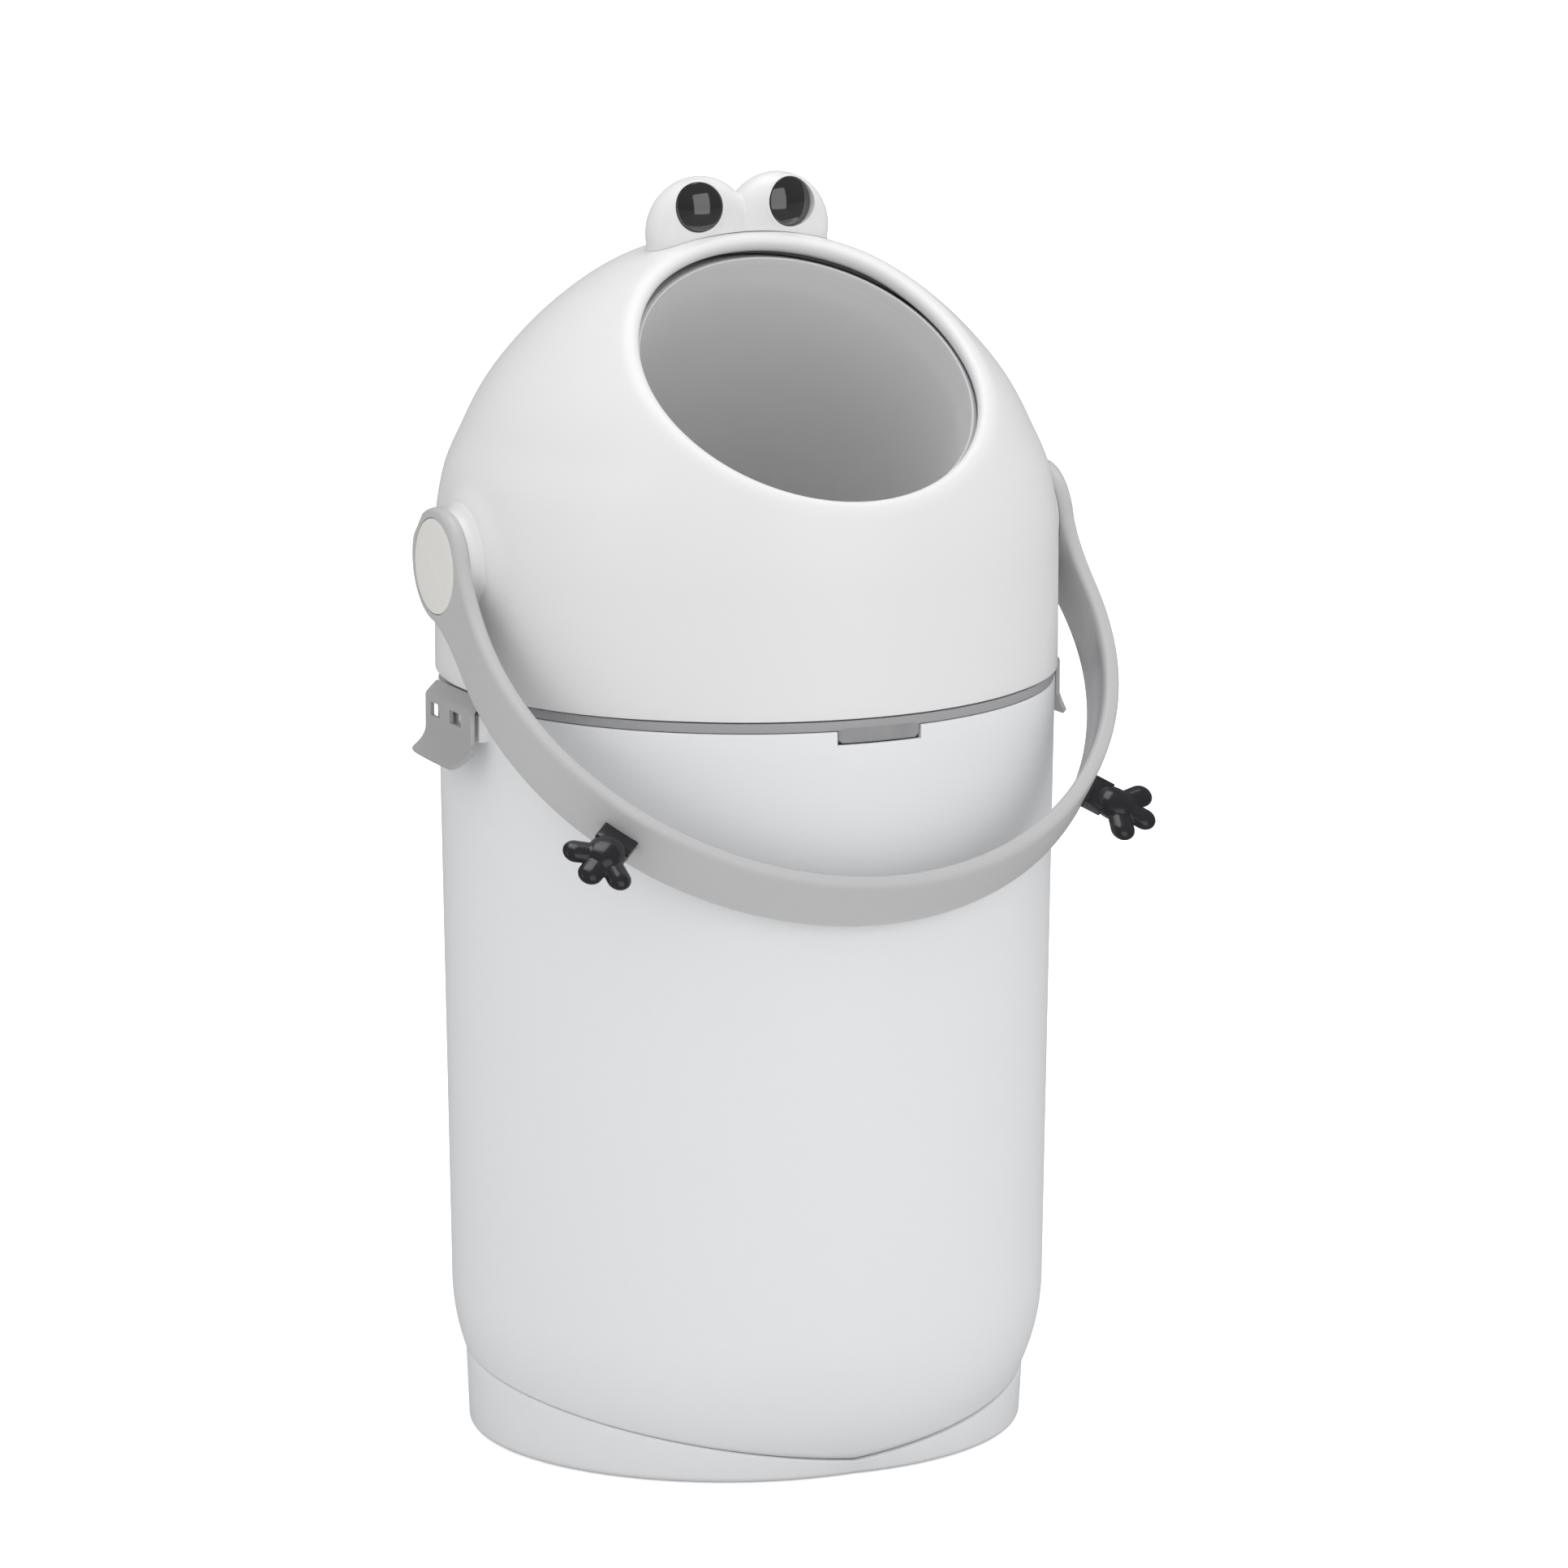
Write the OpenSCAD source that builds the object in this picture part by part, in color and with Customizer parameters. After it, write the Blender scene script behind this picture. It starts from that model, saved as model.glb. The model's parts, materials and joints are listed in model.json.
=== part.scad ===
// A nappy bin: a round bin under a domed head that holds a turning drum.
// The handle turns the drum half a turn, so its open mouth drops what it holds into the bin.
// +Z is up, -Y is the front, X is the drum's axle, and the floor is at z = 0.

/* [Dome and head] */
// Outer radius of the dome
dome_r = 140; // [134:0.5:146]
// Wall of the dome
dome_wall = 3; // [2.6:0.1:3.4]
// Height of the dome's straight skirt, from its edge up to the axle
skirt_h = 56.5; // [55:0.5:60]
// Gap between the dome and the drum inside it
drum_gap = 7; // [6.6:0.1:7.6]
// Width of the grey band between the body and the dome
band_h = 4.6; // [4:0.1:6]
// Dark line between the band and the dome
dome_line = 0.6; // [0.3:0.1:0.9]
// Clearance under the head where it rests on the body
seat_gap = 0.3; // [0.2:0.05:0.4]
// Depth of the plug that centres the head in the body
plug_h = 12; // [10:0.5:16]
// Width of the key tab at the front
tab_w = 40; // [30:1:44]
// How far the key tab reaches below the band
tab_drop = 5.8; // [4:0.1:8]

/* [Mouth] */
// Tilt of the mouth above the horizontal, in degrees
mouth_tilt = 52.4; // [50:0.2:54]
// Radius of the drum's bore
bore_r = 76; // [72:0.5:77]
// Step from the bore out to the edge of the dome's lip
lip_step = 2.6; // [2.2:0.1:3]
// Radius of the round edge of the lip
lip_r = 4; // [3.6:0.1:4.2]

/* [Bin body] */
// Height of the body's rim
rim_z = 348.5; // [330:0.5:365]
// How far the body narrows from its rim to its round lower edge
body_taper = 4.5; // [3:0.1:6]
// Wall of the body
body_wall = 2.5; // [2:0.1:3]
// Height where the round lower edge begins
round_z = 70; // [66:1:78]
// Radius of the round lower edge, seen from the side
round_r = 100; // [96:1:110]
// Underside of the bin's inner floor
floor_z = 48; // [46:0.5:54]
// Thickness of the bin's inner floor
floor_t = 3; // [2:0.1:4]

/* [Foot] */
// Radius of the foot's two round lobes
lobe_r = 120; // [116:0.5:122]
// Distance of each lobe from the middle
lobe_x = 10; // [8:0.5:12]
// How far the lobes lie towards the back
lobe_y = 6; // [4:0.5:8]
// Wall of the foot
foot_wall = 3; // [2.4:0.1:4]
// Height of the foot's edge on the axis
crease_z = 17.45; // [15:0.05:19]
// Rise of the foot's edge for each mm towards the side
crease_side = 0.126; // [0.1:0.002:0.14]
// Rise of the foot's edge for each mm towards the back
crease_back = 0.092; // [0.08:0.002:0.1]
// Radius of a foot pad
pad_r = 9; // [7:0.5:11]
// Thickness of a foot pad
pad_t = 1.4; // [1:0.1:2]

/* [Axle] */
// Radius of the drum's axle
axle_r = 12; // [10:0.5:13]
// Radial clearance of the axle in its bush
axle_clearance = 0.06; // [0.02:0.01:0.09]
// Wall of the bearing bush
bush_wall = 3.4; // [2.6:0.1:4]
// Wall of the drum
drum_wall = 2.5; // [2.2:0.1:3]
// Wall of the drum's sleeve
sleeve_wall = 2.5; // [2:0.1:3]

/* [Handle] */
// How far the handle hangs below the horizontal at rest, in degrees
handle_drop = 42; // [38:1:44]
// Distance from the axle to the centre of the handle's hoop
hoop_reach = 53.6; // [50:0.2:56]
// How far the hoop's outer face stands out from the dome
hoop_stand = 13.5; // [13:0.1:15]
// Thickness of the strap
strap_t = 6; // [5:0.1:6.4]
// Width of the strap
strap_w = 29; // [26:0.5:32]
// Radius of the round hub at each end
hub_r = 26.5; // [25:0.5:28]
// How far a hub's outer face stands out from the dome
hub_stand = 15; // [14.6:0.1:16]
// Radius of a hub's cap
cap_r = 21.7; // [20:0.1:22.4]
// Place of the hands round the hoop, in degrees from its middle
hand_turn = 47; // [42:1:52]
// How far a hand stands out from the strap
hand_reach = 33; // [30:0.5:36]
// Thickness of a hand
hand_t = 5.5; // [4.5:0.1:6.5]
// Width of the tenon that holds a hand
tenon_w = 16.6; // [14:0.1:18]
// Clearance of the tenon in its slot
tenon_clearance = 0.2; // [0.1:0.05:0.3]

/* [Eyes] */
// Radius of an eye bulb
bulb_r = 25.2; // [24:0.1:26.4]
// Distance of a bulb from the middle
bulb_x = 19.3; // [18:0.1:20.4]
// How far the bulbs lie behind the axle
bulb_y = 12.2; // [11.6:0.1:13]
// Half of a bulb's depth, front to back
bulb_depth = 11.8; // [11.2:0.1:12.4]
// Rounding of a bulb's edge
bulb_edge = 6; // [5:0.1:7]
// How far a bulb's centre lies above the dome's top
bulb_rise = 0.5; // [0:0.1:1]
// Wall of the eye pod
pod_wall = 2.4; // [2:0.1:2.8]
// Radius of an eye lens
lens_r = 11.3; // [10.5:0.1:11.8]
// Distance of a lens from the middle
lens_x = 22.4; // [22:0.1:23]
// Height of a lens above a bulb's centre
lens_rise = 12.5; // [11.5:0.1:13]

/* [Piston] */
// Length of the piston
piston_len = 56; // [50:1:62]
// Clearance between the piston's discs and the bore
piston_clearance = 0.6; // [0.5:0.05:0.8]
// Thickness of a piston disc
disc_t = 3; // [2.4:0.1:4]
// Radius of the steel weight
weight_r = 36; // [32:1:44]
// Thickness of the steel weight
weight_t = 6; // [5:0.5:8]

/* [Clips] */
// Width of a side clip
clip_w = 54; // [50:1:58]
// Thickness of a clip's plate
clip_t = 2.6; // [2.2:0.1:3]
// Length of a clip's flat plate below its pin
clip_plate = 18.5; // [17:0.5:20]
// Width of a window in a clip
window_w = 12; // [9:0.5:13]
// Height of a window in a clip
window_h = 6; // [4.5:0.1:6.5]
// Distance of a window from the clip's middle
window_y = 13; // [12:0.1:14]
// Radius of a clip's pin
pin_r = 1; // [0.9:0.05:1.1]

/* [Hidden] */
$fn = 128;
left = -1;
right = 1;
big = 400;
small_gap = 0.05;
fit_gap = 0.1;
run_gap = 0.3;

// Heights
ring_low = rim_z + seat_gap;
ring_top = ring_low + band_h;
dome_edge_z = ring_top + dome_line;
pivot_z = dome_edge_z + skirt_h;

// Body radii
rim_step = 0.5;
rim_r = dome_r + rim_step;
low_r = rim_r - body_taper;
floor_top = floor_z + floor_t;
foot_top = floor_z - run_gap;

// Drum
dome_in = dome_r - dome_wall;
drum_r = dome_in - drum_gap;
drum_in = drum_r - drum_wall;
sleeve_r = bore_r + sleeve_wall;
sleeve_end = sqrt(pow(drum_r - 0.5, 2) - pow(sleeve_r, 2));
end_ring_r = sleeve_r + 1.5;
end_ring_in = bore_r - 3.5;
end_ring_skirt = 6;

// Lip of the mouth
lip_edge_r = bore_r + lip_step;
lip_at_r = lip_edge_r + lip_r;
lip_at_z = sqrt(pow(dome_r - lip_r, 2) - pow(lip_at_r, 2));
lip_join_r = lip_at_r * dome_r / (dome_r - lip_r);

// Axle stations along X
flat_x = drum_r - 3;
flange_t = 3;
flange_r = 2 * axle_r;
bush_r = axle_r + axle_clearance + bush_wall;
boss_r = bush_r + 5.5;
boss_in_x = dome_in - 3;
boss_out_x = dome_r + 1;
bush_flange_t = 1.5;
hub_out_x = dome_r + hub_stand;
hub_in_x = boss_out_x + bush_flange_t + 3;
axle_end_x = hub_out_x - 5;
web_t = 1.5;
key_half = axle_r * 0.83;
spigot_r = 6;

// Handle
hoop_r = dome_r + hoop_stand;
hoop_start = 18;
neck_end = 34;
channel_d = 1.2;
channel_margin = 5;
strap_edge = 1.8;

// Screws: shank radius, head radius, head height
screw_r = 1.5;
screw_head_r = 2.8;
screw_head_h = 2;

// Ring screws stand on a circle inside the dome's skirt
ring_screw_at = dome_in - 6;
ring_screw_turns = [45, 135, 225, 315];
ring_boss_r = 4.2;
ring_boss_h = 14;

// Foot screws and pads
foot_screw_at = 70;
foot_pad_at = 95;
foot_boss_r = 6;
foot_boss_drop = 12;
foot_well_r = 3.4;
foot_seat_z = 26;

// Drum screws: four pillars through both halves, round the sleeve
pillar_turns = [60, 120, 240, 300];
pillar_at = 104;
pillar_r = 4.8;
pillar_seat = 12;

// Clip pin and plate
pin_x = dome_r + 2.8;
pin_z = ring_low + 0.7;
barrel_r = 2.2;
lug_r = 1.9;
lug_from = 8;
lug_to = 14;
lug_gap = 0.35;
plate_out = pin_x + 4.4;
plate_in = plate_out - clip_t;
plate_low = pin_z - clip_plate;
lip_out = 6.6;
lip_drop = 10;
window_z = pin_z - 12.4;
side_pad_x = plate_in - 1.4;
tooth_in = run_gap;
flange_wall = 1.8;

// Eyes
bulb_z = pivot_z + dome_r + bulb_rise;
pod_gap = 0.15;
lens_out = 5;
lens_up = 5;
lens_h = 3.6;
lens_ball = 20;
lens_sink = 1.2;
stud_r = 2;
stud_l = 2.6;
pod_boss_r = 4.5;

white = "#e6e6ea";
light_grey = "#bdbdc0";
mid_grey = "#8c8c90";
black = "#202024";
steel = "#b8bcc2";
seal_grey = "#4a4a4e";

// ---- Shared frames and shapes ----

module at_pivot() translate([0, 0, pivot_z]) children();

// Origin on the axle, +Z out of the mouth
module along_mouth() at_pivot() rotate([90 - mouth_tilt, 0, 0]) children();

// Origin on the axle, -Y towards the handle, +Z across the strap
module along_handle() at_pivot() rotate([handle_drop, 0, 0]) children();

// Origin on the axle, +Z outwards along X to the given side
module along_axle(side) at_pivot() rotate([0, side * 90, 0]) children();

module ring(r_out, r_in, z_low, z_high) {
    translate([0, 0, z_low])
    difference() {
        cylinder(r = r_out, h = z_high - z_low);
        translate([0, 0, -1]) cylinder(r = r_in, h = z_high - z_low + 2);
    }
}

module screw(r, length, head_r, head_h) {
    translate([0, 0, -head_h]) cylinder(r = head_r, h = head_h);
    cylinder(r = r, h = length);
}

// Everything under one of the two slanted planes of the foot's edge
module below_crease(side) {
    turn = atan(crease_back);
    lean = atan(crease_side * cos(turn));
    translate([0, 0, crease_z])
    rotate([turn, 0, 0])
    rotate([0, -side * lean, 0])
    translate([-big, -big, -big])
    cube([2 * big, 2 * big, big]);
}

// Everything above both planes
module above_crease() {
    difference() {
        translate([-big, -big, -big / 2]) cube(2 * big);
        below_crease(left);
        below_crease(right);
    }
}

// ---- Bin body ----

module body_side(inset, low, high) {
    intersection() {
        union() {
            polygon([
                [0, round_z],
                [low_r - inset, round_z],
                [rim_r - inset, rim_z],
                [rim_r - inset, rim_z + 1],
                [0, rim_z + 1]
            ]);
            intersection() {
                translate([low_r - round_r, round_z]) circle(r = round_r - inset);
                square([big, round_z]);
            }
        }
        translate([0, low]) square([big, high - low]);
    }
}

module side_pad(side) {
    pad_half = clip_w / 2 - flange_wall - 1.7;
    pad_low = plate_low + 2;
    pad_high = rim_z - 3;
    tooth_half = window_w / 2 - 1.5;
    difference() {
        union() {
            translate([side > 0 ? 0 : -side_pad_x, -pad_half, pad_low])
            cube([side_pad_x, 2 * pad_half, pad_high - pad_low]);
            for (y = [-window_y, window_y])
                translate([side > 0 ? 0 : -plate_in + tooth_in, y - tooth_half, window_z - window_h / 2 + 1.4])
                cube([plate_in - tooth_in, 2 * tooth_half, window_h - 1.6]);
        }
        cylinder(r = rim_r - body_wall, h = big);
    }
}

module bin_body() {
    tab_room = 0.6;
    relief_drop = 2;
    color(white)
    difference() {
        union() {
            rotate_extrude()
            difference() {
                body_side(0, 0, rim_z);
                body_side(body_wall, floor_top, big);
                body_side(body_wall, -1, floor_z);
            }
            side_pad(left);
            side_pad(right);
            for (a = ring_screw_turns)
                rotate([0, 0, a]) translate([foot_screw_at, 0, floor_z - foot_boss_drop])
                cylinder(r = foot_boss_r, h = foot_boss_drop + 1);
        }
        below_crease(left);
        below_crease(right);
        translate([-tab_w / 2 - tab_room, -dome_r - 10, ring_low - tab_drop - tab_room])
        cube([tab_w + 2 * tab_room, 20, big]);
        for (side = [left, right])
            translate([side * (rim_r + 4), 0, rim_z - relief_drop + big / 2])
            cube([12, clip_w + 2, big], center = true);
        for (a = ring_screw_turns)
            rotate([0, 0, a]) translate([foot_screw_at, 0, 0])
            cylinder(r = screw_r + small_gap, h = floor_z - 0.5);
    }
}

module lobes(inset) {
    for (side = [left, right])
        translate([side * lobe_x, lobe_y]) circle(r = lobe_r - inset);
}

module base_foot() {
    plate_t = 3;
    color(white)
    difference() {
        union() {
            difference() {
                linear_extrude(height = foot_top) lobes(0);
                translate([0, 0, plate_t]) linear_extrude(height = big) lobes(foot_wall);
                above_crease();
            }
            for (a = ring_screw_turns)
                rotate([0, 0, a]) translate([foot_screw_at, 0, 0])
                cylinder(r = foot_boss_r, h = floor_z - foot_boss_drop - small_gap);
        }
        for (a = ring_screw_turns)
            rotate([0, 0, a]) {
                translate([foot_screw_at, 0, -1]) cylinder(r = screw_r + fit_gap, h = big);
                translate([foot_screw_at, 0, -1]) cylinder(r = foot_well_r, h = foot_seat_z + 1);
                translate([foot_pad_at, 0, -1]) cylinder(r = pad_r + fit_gap, h = pad_t + 1);
            }
    }
}

module foot_pads() {
    color(seal_grey)
    for (a = ring_screw_turns)
        rotate([0, 0, a]) translate([foot_pad_at, 0, 0]) cylinder(r = pad_r, h = pad_t);
}

module foot_screws() {
    color(steel)
    for (a = ring_screw_turns)
        rotate([0, 0, a]) translate([foot_screw_at, 0, foot_seat_z])
        screw(screw_r, floor_z - 3 - foot_seat_z, screw_head_r, screw_head_h);
}

// ---- Head ----

plug_r = rim_r - body_wall - 1.1;
plug_wall = 2.5;
web_in = sqrt(pow(drum_r + 1.6, 2) - pow(pivot_z - ring_top, 2));
groove_d = 1.2;
groove_h = 3;
gasket_z = ring_low - 8.8;

module ring_lugs(side) {
    for (flip = [-1, 1]) {
        low = flip > 0 ? lug_from : -lug_to;
        translate([side * pin_x, low, pin_z])
        rotate([-90, 0, 0]) cylinder(r = lug_r, h = lug_to - lug_from);
        translate([side > 0 ? dome_r - 2 : -pin_x, low, pin_z - 0.5])
        cube([pin_x - dome_r + 2, lug_to - lug_from, 2.3]);
    }
}

module head_ring() {
    upstand_h = 4;
    upstand_t = 1.8;
    upstand_r = dome_in - run_gap;
    color(mid_grey)
    difference() {
        union() {
            rotate_extrude() polygon([
                [web_in, ring_top - 3],
                [plug_r - plug_wall, ring_top - 3],
                [plug_r - plug_wall, ring_low - plug_h],
                [plug_r, ring_low - plug_h],
                [plug_r, gasket_z],
                [plug_r - groove_d, gasket_z],
                [plug_r - groove_d, gasket_z + groove_h],
                [plug_r, gasket_z + groove_h],
                [plug_r, ring_low],
                [dome_r, ring_low],
                [dome_r, ring_top],
                [upstand_r, ring_top],
                [upstand_r, ring_top + upstand_h],
                [upstand_r - upstand_t, ring_top + upstand_h],
                [upstand_r - upstand_t, ring_top],
                [web_in, ring_top]
            ]);
            intersection() {
                ring(dome_r, dome_r - body_wall, ring_low - tab_drop, ring_low + 1);
                translate([-tab_w / 2, -dome_r - 10, 0]) cube([tab_w, 40, big]);
            }
            ring_lugs(left);
            ring_lugs(right);
        }
        for (a = ring_screw_turns)
            rotate([0, 0, a]) {
                translate([ring_screw_at, 0, 0]) cylinder(r = screw_r + fit_gap, h = big);
                translate([ring_screw_at + 3, 0, ring_top + big / 2])
                cube([12, 10, big], center = true);
            }
        for (side = [left, right])
            translate([side * pin_x, clip_w / 2, pin_z])
            rotate([90, 0, 0]) cylinder(r = pin_r + small_gap, h = clip_w);
    }
}

module head_gasket() {
    color(seal_grey)
    ring(
        plug_r + 0.6,
        plug_r - groove_d + small_gap,
        gasket_z + fit_gap,
        gasket_z + groove_h - fit_gap
    );
}

module drum_seal() {
    seal_h = 3;
    seal_w = 5.5;
    seal_in = sqrt(pow(drum_r + 0.45, 2) - pow(pivot_z - ring_top - seal_h, 2));
    color(seal_grey)
    ring(seal_in + seal_w, seal_in, ring_top, ring_top + seal_h);
}

module dome_profile(r) {
    intersection() {
        circle(r = r);
        square([big, big]);
    }
    translate([0, -skirt_h]) square([r, skirt_h]);
}

module dome_lip() {
    rotate_extrude()
    intersection() {
        union() {
            translate([lip_at_r, lip_at_z]) circle(r = lip_r);
            difference() {
                circle(r = dome_r);
                circle(r = dome_in);
            }
        }
        translate([lip_at_r - lip_r - 1, 0]) square([lip_join_r - lip_at_r + lip_r + 1, big]);
        union() {
            translate([lip_at_r, lip_at_z]) circle(r = lip_r);
            translate([lip_at_r, 0]) square([big, big]);
        }
    }
}

module dome_shell() {
    color(white)
    difference() {
        union() {
            difference() {
                at_pivot() rotate_extrude() difference() {
                    dome_profile(dome_r);
                    translate([0, -0.001]) dome_profile(dome_in);
                    translate([0, -skirt_h - 1]) square([dome_in, 10]);
                }
                along_mouth() translate([0, 0, lip_at_z - 20]) cylinder(r = lip_join_r, h = big);
            }
            along_mouth() dome_lip();
            for (side = [left, right])
                along_axle(side) translate([0, 0, boss_in_x])
                cylinder(r = boss_r, h = boss_out_x - boss_in_x);
            for (a = ring_screw_turns)
                rotate([0, 0, a]) translate([0, 0, ring_top + run_gap]) {
                    translate([ring_screw_at, 0, 0]) cylinder(r = ring_boss_r, h = ring_boss_h);
                    translate([ring_screw_at, -2, dome_line]) cube([7, 4, ring_boss_h - dome_line]);
                }
        }
        for (side = [left, right])
            along_axle(side) translate([0, 0, boss_in_x - 5])
            cylinder(r = bush_r + small_gap, h = 20);
        for (a = ring_screw_turns)
            rotate([0, 0, a]) translate([ring_screw_at, 0, 0])
            cylinder(r = screw_r + small_gap, h = ring_top + ring_boss_h - 1);
        for (side = [left, right])
            translate([side * bulb_x, bulb_y, pivot_z + 90])
            cylinder(r = screw_r + fit_gap, h = big);
    }
}

module ring_screws() {
    color(steel)
    for (a = ring_screw_turns)
        rotate([0, 0, a]) translate([ring_screw_at, 0, ring_top - 3])
        screw(screw_r, ring_boss_h, screw_head_r, screw_head_h);
}

module mouth_seal() {
    seal_from = lip_at_r + lip_r + 1;
    color(seal_grey)
    along_mouth() rotate_extrude() intersection() {
        difference() {
            circle(r = dome_in - small_gap);
            circle(r = drum_r + 0.45);
        }
        translate([seal_from, 0]) square([2.6, big]);
    }
}

module bearing_bush(side) {
    color(light_grey)
    along_axle(side) {
        difference() {
            union() {
                translate([0, 0, flat_x + flange_t + 0.5])
                cylinder(r = bush_r, h = boss_out_x - flat_x - flange_t - 0.5);
                translate([0, 0, boss_out_x]) cylinder(r = bush_r + 3, h = bush_flange_t);
            }
            cylinder(r = axle_r + axle_clearance, h = big);
        }
    }
}

// ---- Eyes ----

module bulb(inset) {
    r = bulb_r - inset;
    d = bulb_depth - inset;
    e = bulb_edge - inset;
    intersection() {
        rotate([90, 0, 0]) rotate_extrude() {
            translate([0, -d + e]) square([r, 2 * (d - e)]);
            translate([0, -d]) square([r - e, 2 * d]);
            for (s = [-1, 1]) translate([r - e, s * (d - e)]) circle(r = e);
        }
        translate([-big / 2, -big / 2, 0]) cube(big);
    }
    translate([0, 0, -bulb_r]) linear_extrude(height = bulb_r) {
        square([2 * r, 2 * (d - e)], center = true);
        square([2 * (r - e), 2 * d], center = true);
        for (sx = [-1, 1], sy = [-1, 1]) translate([sx * (r - e), sy * (d - e)]) circle(r = e);
    }
}

// Origin on the front face of a bulb, +Z out of it
module at_lens(side) {
    translate([side * lens_x, bulb_y - bulb_depth, bulb_z + lens_rise])
    rotate([0, 0, side * lens_out])
    rotate([90 - lens_up, 0, 0])
    children();
}

module eye_pod() {
    color(white)
    difference() {
        union() {
            difference() {
                for (side = [left, right]) translate([side * bulb_x, bulb_y, bulb_z]) bulb(0);
                for (side = [left, right]) translate([side * bulb_x, bulb_y, bulb_z]) bulb(pod_wall);
            }
            for (side = [left, right])
                translate([side * bulb_x, bulb_y, bulb_z - 12])
                cylinder(r = pod_boss_r, h = 12 + bulb_r - pod_wall / 2);
            for (side = [left, right])
                at_lens(side) translate([0, 0, -lens_sink - 4]) cylinder(r = stud_r + 2, h = 4);
        }
        at_pivot() sphere(r = dome_r + pod_gap);
        for (side = [left, right]) {
            translate([side * bulb_x, bulb_y, bulb_z - 20]) cylinder(r = screw_r + small_gap, h = 28);
            at_lens(side) translate([0, 0, -lens_sink]) cylinder(r = lens_r + small_gap, h = 20);
            at_lens(side) translate([0, 0, -lens_sink - stud_l - 0.2])
            cylinder(r = stud_r + small_gap, h = 20);
        }
    }
}

module eye_lens(side) {
    color(black)
    at_lens(side) translate([0, 0, -lens_sink]) {
        intersection() {
            cylinder(r = lens_r, h = lens_h);
            translate([0, 0, lens_h - lens_ball]) sphere(r = lens_ball);
        }
        translate([0, 0, -stud_l]) cylinder(r = stud_r, h = stud_l + 0.5);
    }
}

module eye_pod_screws() {
    seat = sqrt(pow(dome_in, 2) - pow(bulb_x + screw_head_r, 2) - pow(bulb_y + 1, 2)) - 0.2;
    color(steel)
    for (side = [left, right])
        translate([side * bulb_x, bulb_y, pivot_z + seat])
        screw(screw_r, 12, screw_head_r, screw_head_h);
}

// ---- Side clips ----

module clip_side_view() {
    polygon([
        [pin_x, pin_z + barrel_r],
        [plate_out, pin_z - 0.6],
        [plate_out, plate_low],
        [plate_out + 2.2, plate_low - 5],
        [plate_out + lip_out, plate_low - lip_drop + 1.8],
        [plate_out + lip_out - 0.8, plate_low - lip_drop],
        [plate_out + 0.6, plate_low - lip_drop + 4.4],
        [plate_in, plate_low - 1],
        [plate_in, pin_z - barrel_r],
        [pin_x, pin_z - barrel_r]
    ]);
}

module clip_shape(side) {
    half = clip_w / 2;
    difference() {
        union() {
            translate([0, half, 0]) rotate([90, 0, 0]) {
                linear_extrude(height = clip_w) clip_side_view();
                translate([pin_x, pin_z, 0]) cylinder(r = barrel_r, h = clip_w);
            }
            for (y = [-half, half - flange_wall])
                translate([dome_r - 1, y, plate_low])
                cube([plate_in - dome_r + 2, flange_wall, pin_z - barrel_r - plate_low]);
        }
        for (flip = [-1, 1]) {
            low = flip > 0 ? lug_from - lug_gap : -lug_to - lug_gap;
            translate([pin_x - 5, low, pin_z - barrel_r - 0.2])
            cube([5 + barrel_r + 0.2, lug_to - lug_from + 2 * lug_gap, 10]);
        }
        for (y = [-window_y, window_y])
            translate([plate_in - 1, y - window_w / 2, window_z - window_h / 2])
            cube([clip_t + 2, window_w, window_h]);
        translate([pin_x, half + 1, pin_z])
        rotate([90, 0, 0]) cylinder(r = pin_r + small_gap, h = clip_w + 2);
    }
}

module clip(side) {
    color(mid_grey)
    if (side > 0)
        clip_shape(side);
    else
        mirror([1, 0, 0]) clip_shape(side);
}

module clip_pin(side) {
    color(steel)
    translate([side * pin_x, clip_w / 2 - 0.5, pin_z])
    rotate([90, 0, 0]) cylinder(r = pin_r, h = clip_w - 1);
}

// ---- Drum ----

module pillar_places() {
    for (a = pillar_turns)
        along_mouth() rotate([-a, 0, 0]) translate([0, 0, pillar_at]) children();
}

module left_half_shape(with_wells) {
    difference() {
        union() {
            difference() {
                at_pivot() sphere(r = drum_r);
                at_pivot() sphere(r = drum_in);
            }
            intersection() {
                along_axle(left) translate([0, 0, flat_x - 5]) cylinder(r = flange_r + 6, h = 5.5);
                at_pivot() sphere(r = drum_r - 1);
            }
            intersection() {
                pillar_places() rotate([0, -90, 0]) cylinder(r = pillar_r, h = big / 2);
                at_pivot() sphere(r = drum_r - 1);
            }
        }
        translate([-small_gap, -big / 2, 0]) cube([big, big, 2 * big]);
        along_axle(left) translate([0, 0, flat_x]) cylinder(r = big / 4, h = 20);
        along_mouth() translate([0, 0, -big / 2]) cylinder(r = end_ring_r + fit_gap, h = big);
        along_axle(left) translate([0, 0, flat_x - 8]) cylinder(r = spigot_r, h = 20);
        pillar_places() rotate([0, -90, 0]) {
            translate([0, 0, -1]) cylinder(r = screw_r + small_gap, h = pillar_seat + 2);
            if (with_wells)
                translate([0, 0, pillar_seat]) cylinder(r = screw_head_r + 0.4, h = big / 2);
        }
    }
}

module drum_half_left() {
    color(light_grey) left_half_shape(false);
}

module drum_half_right() {
    color(light_grey) mirror([1, 0, 0]) left_half_shape(true);
}

module drum_sleeve() {
    color(mid_grey)
    along_mouth() ring(sleeve_r, bore_r, -sleeve_end, sleeve_end);
}

function drum_rise(r) = sqrt(pow(drum_r, 2) - pow(r, 2));

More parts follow.
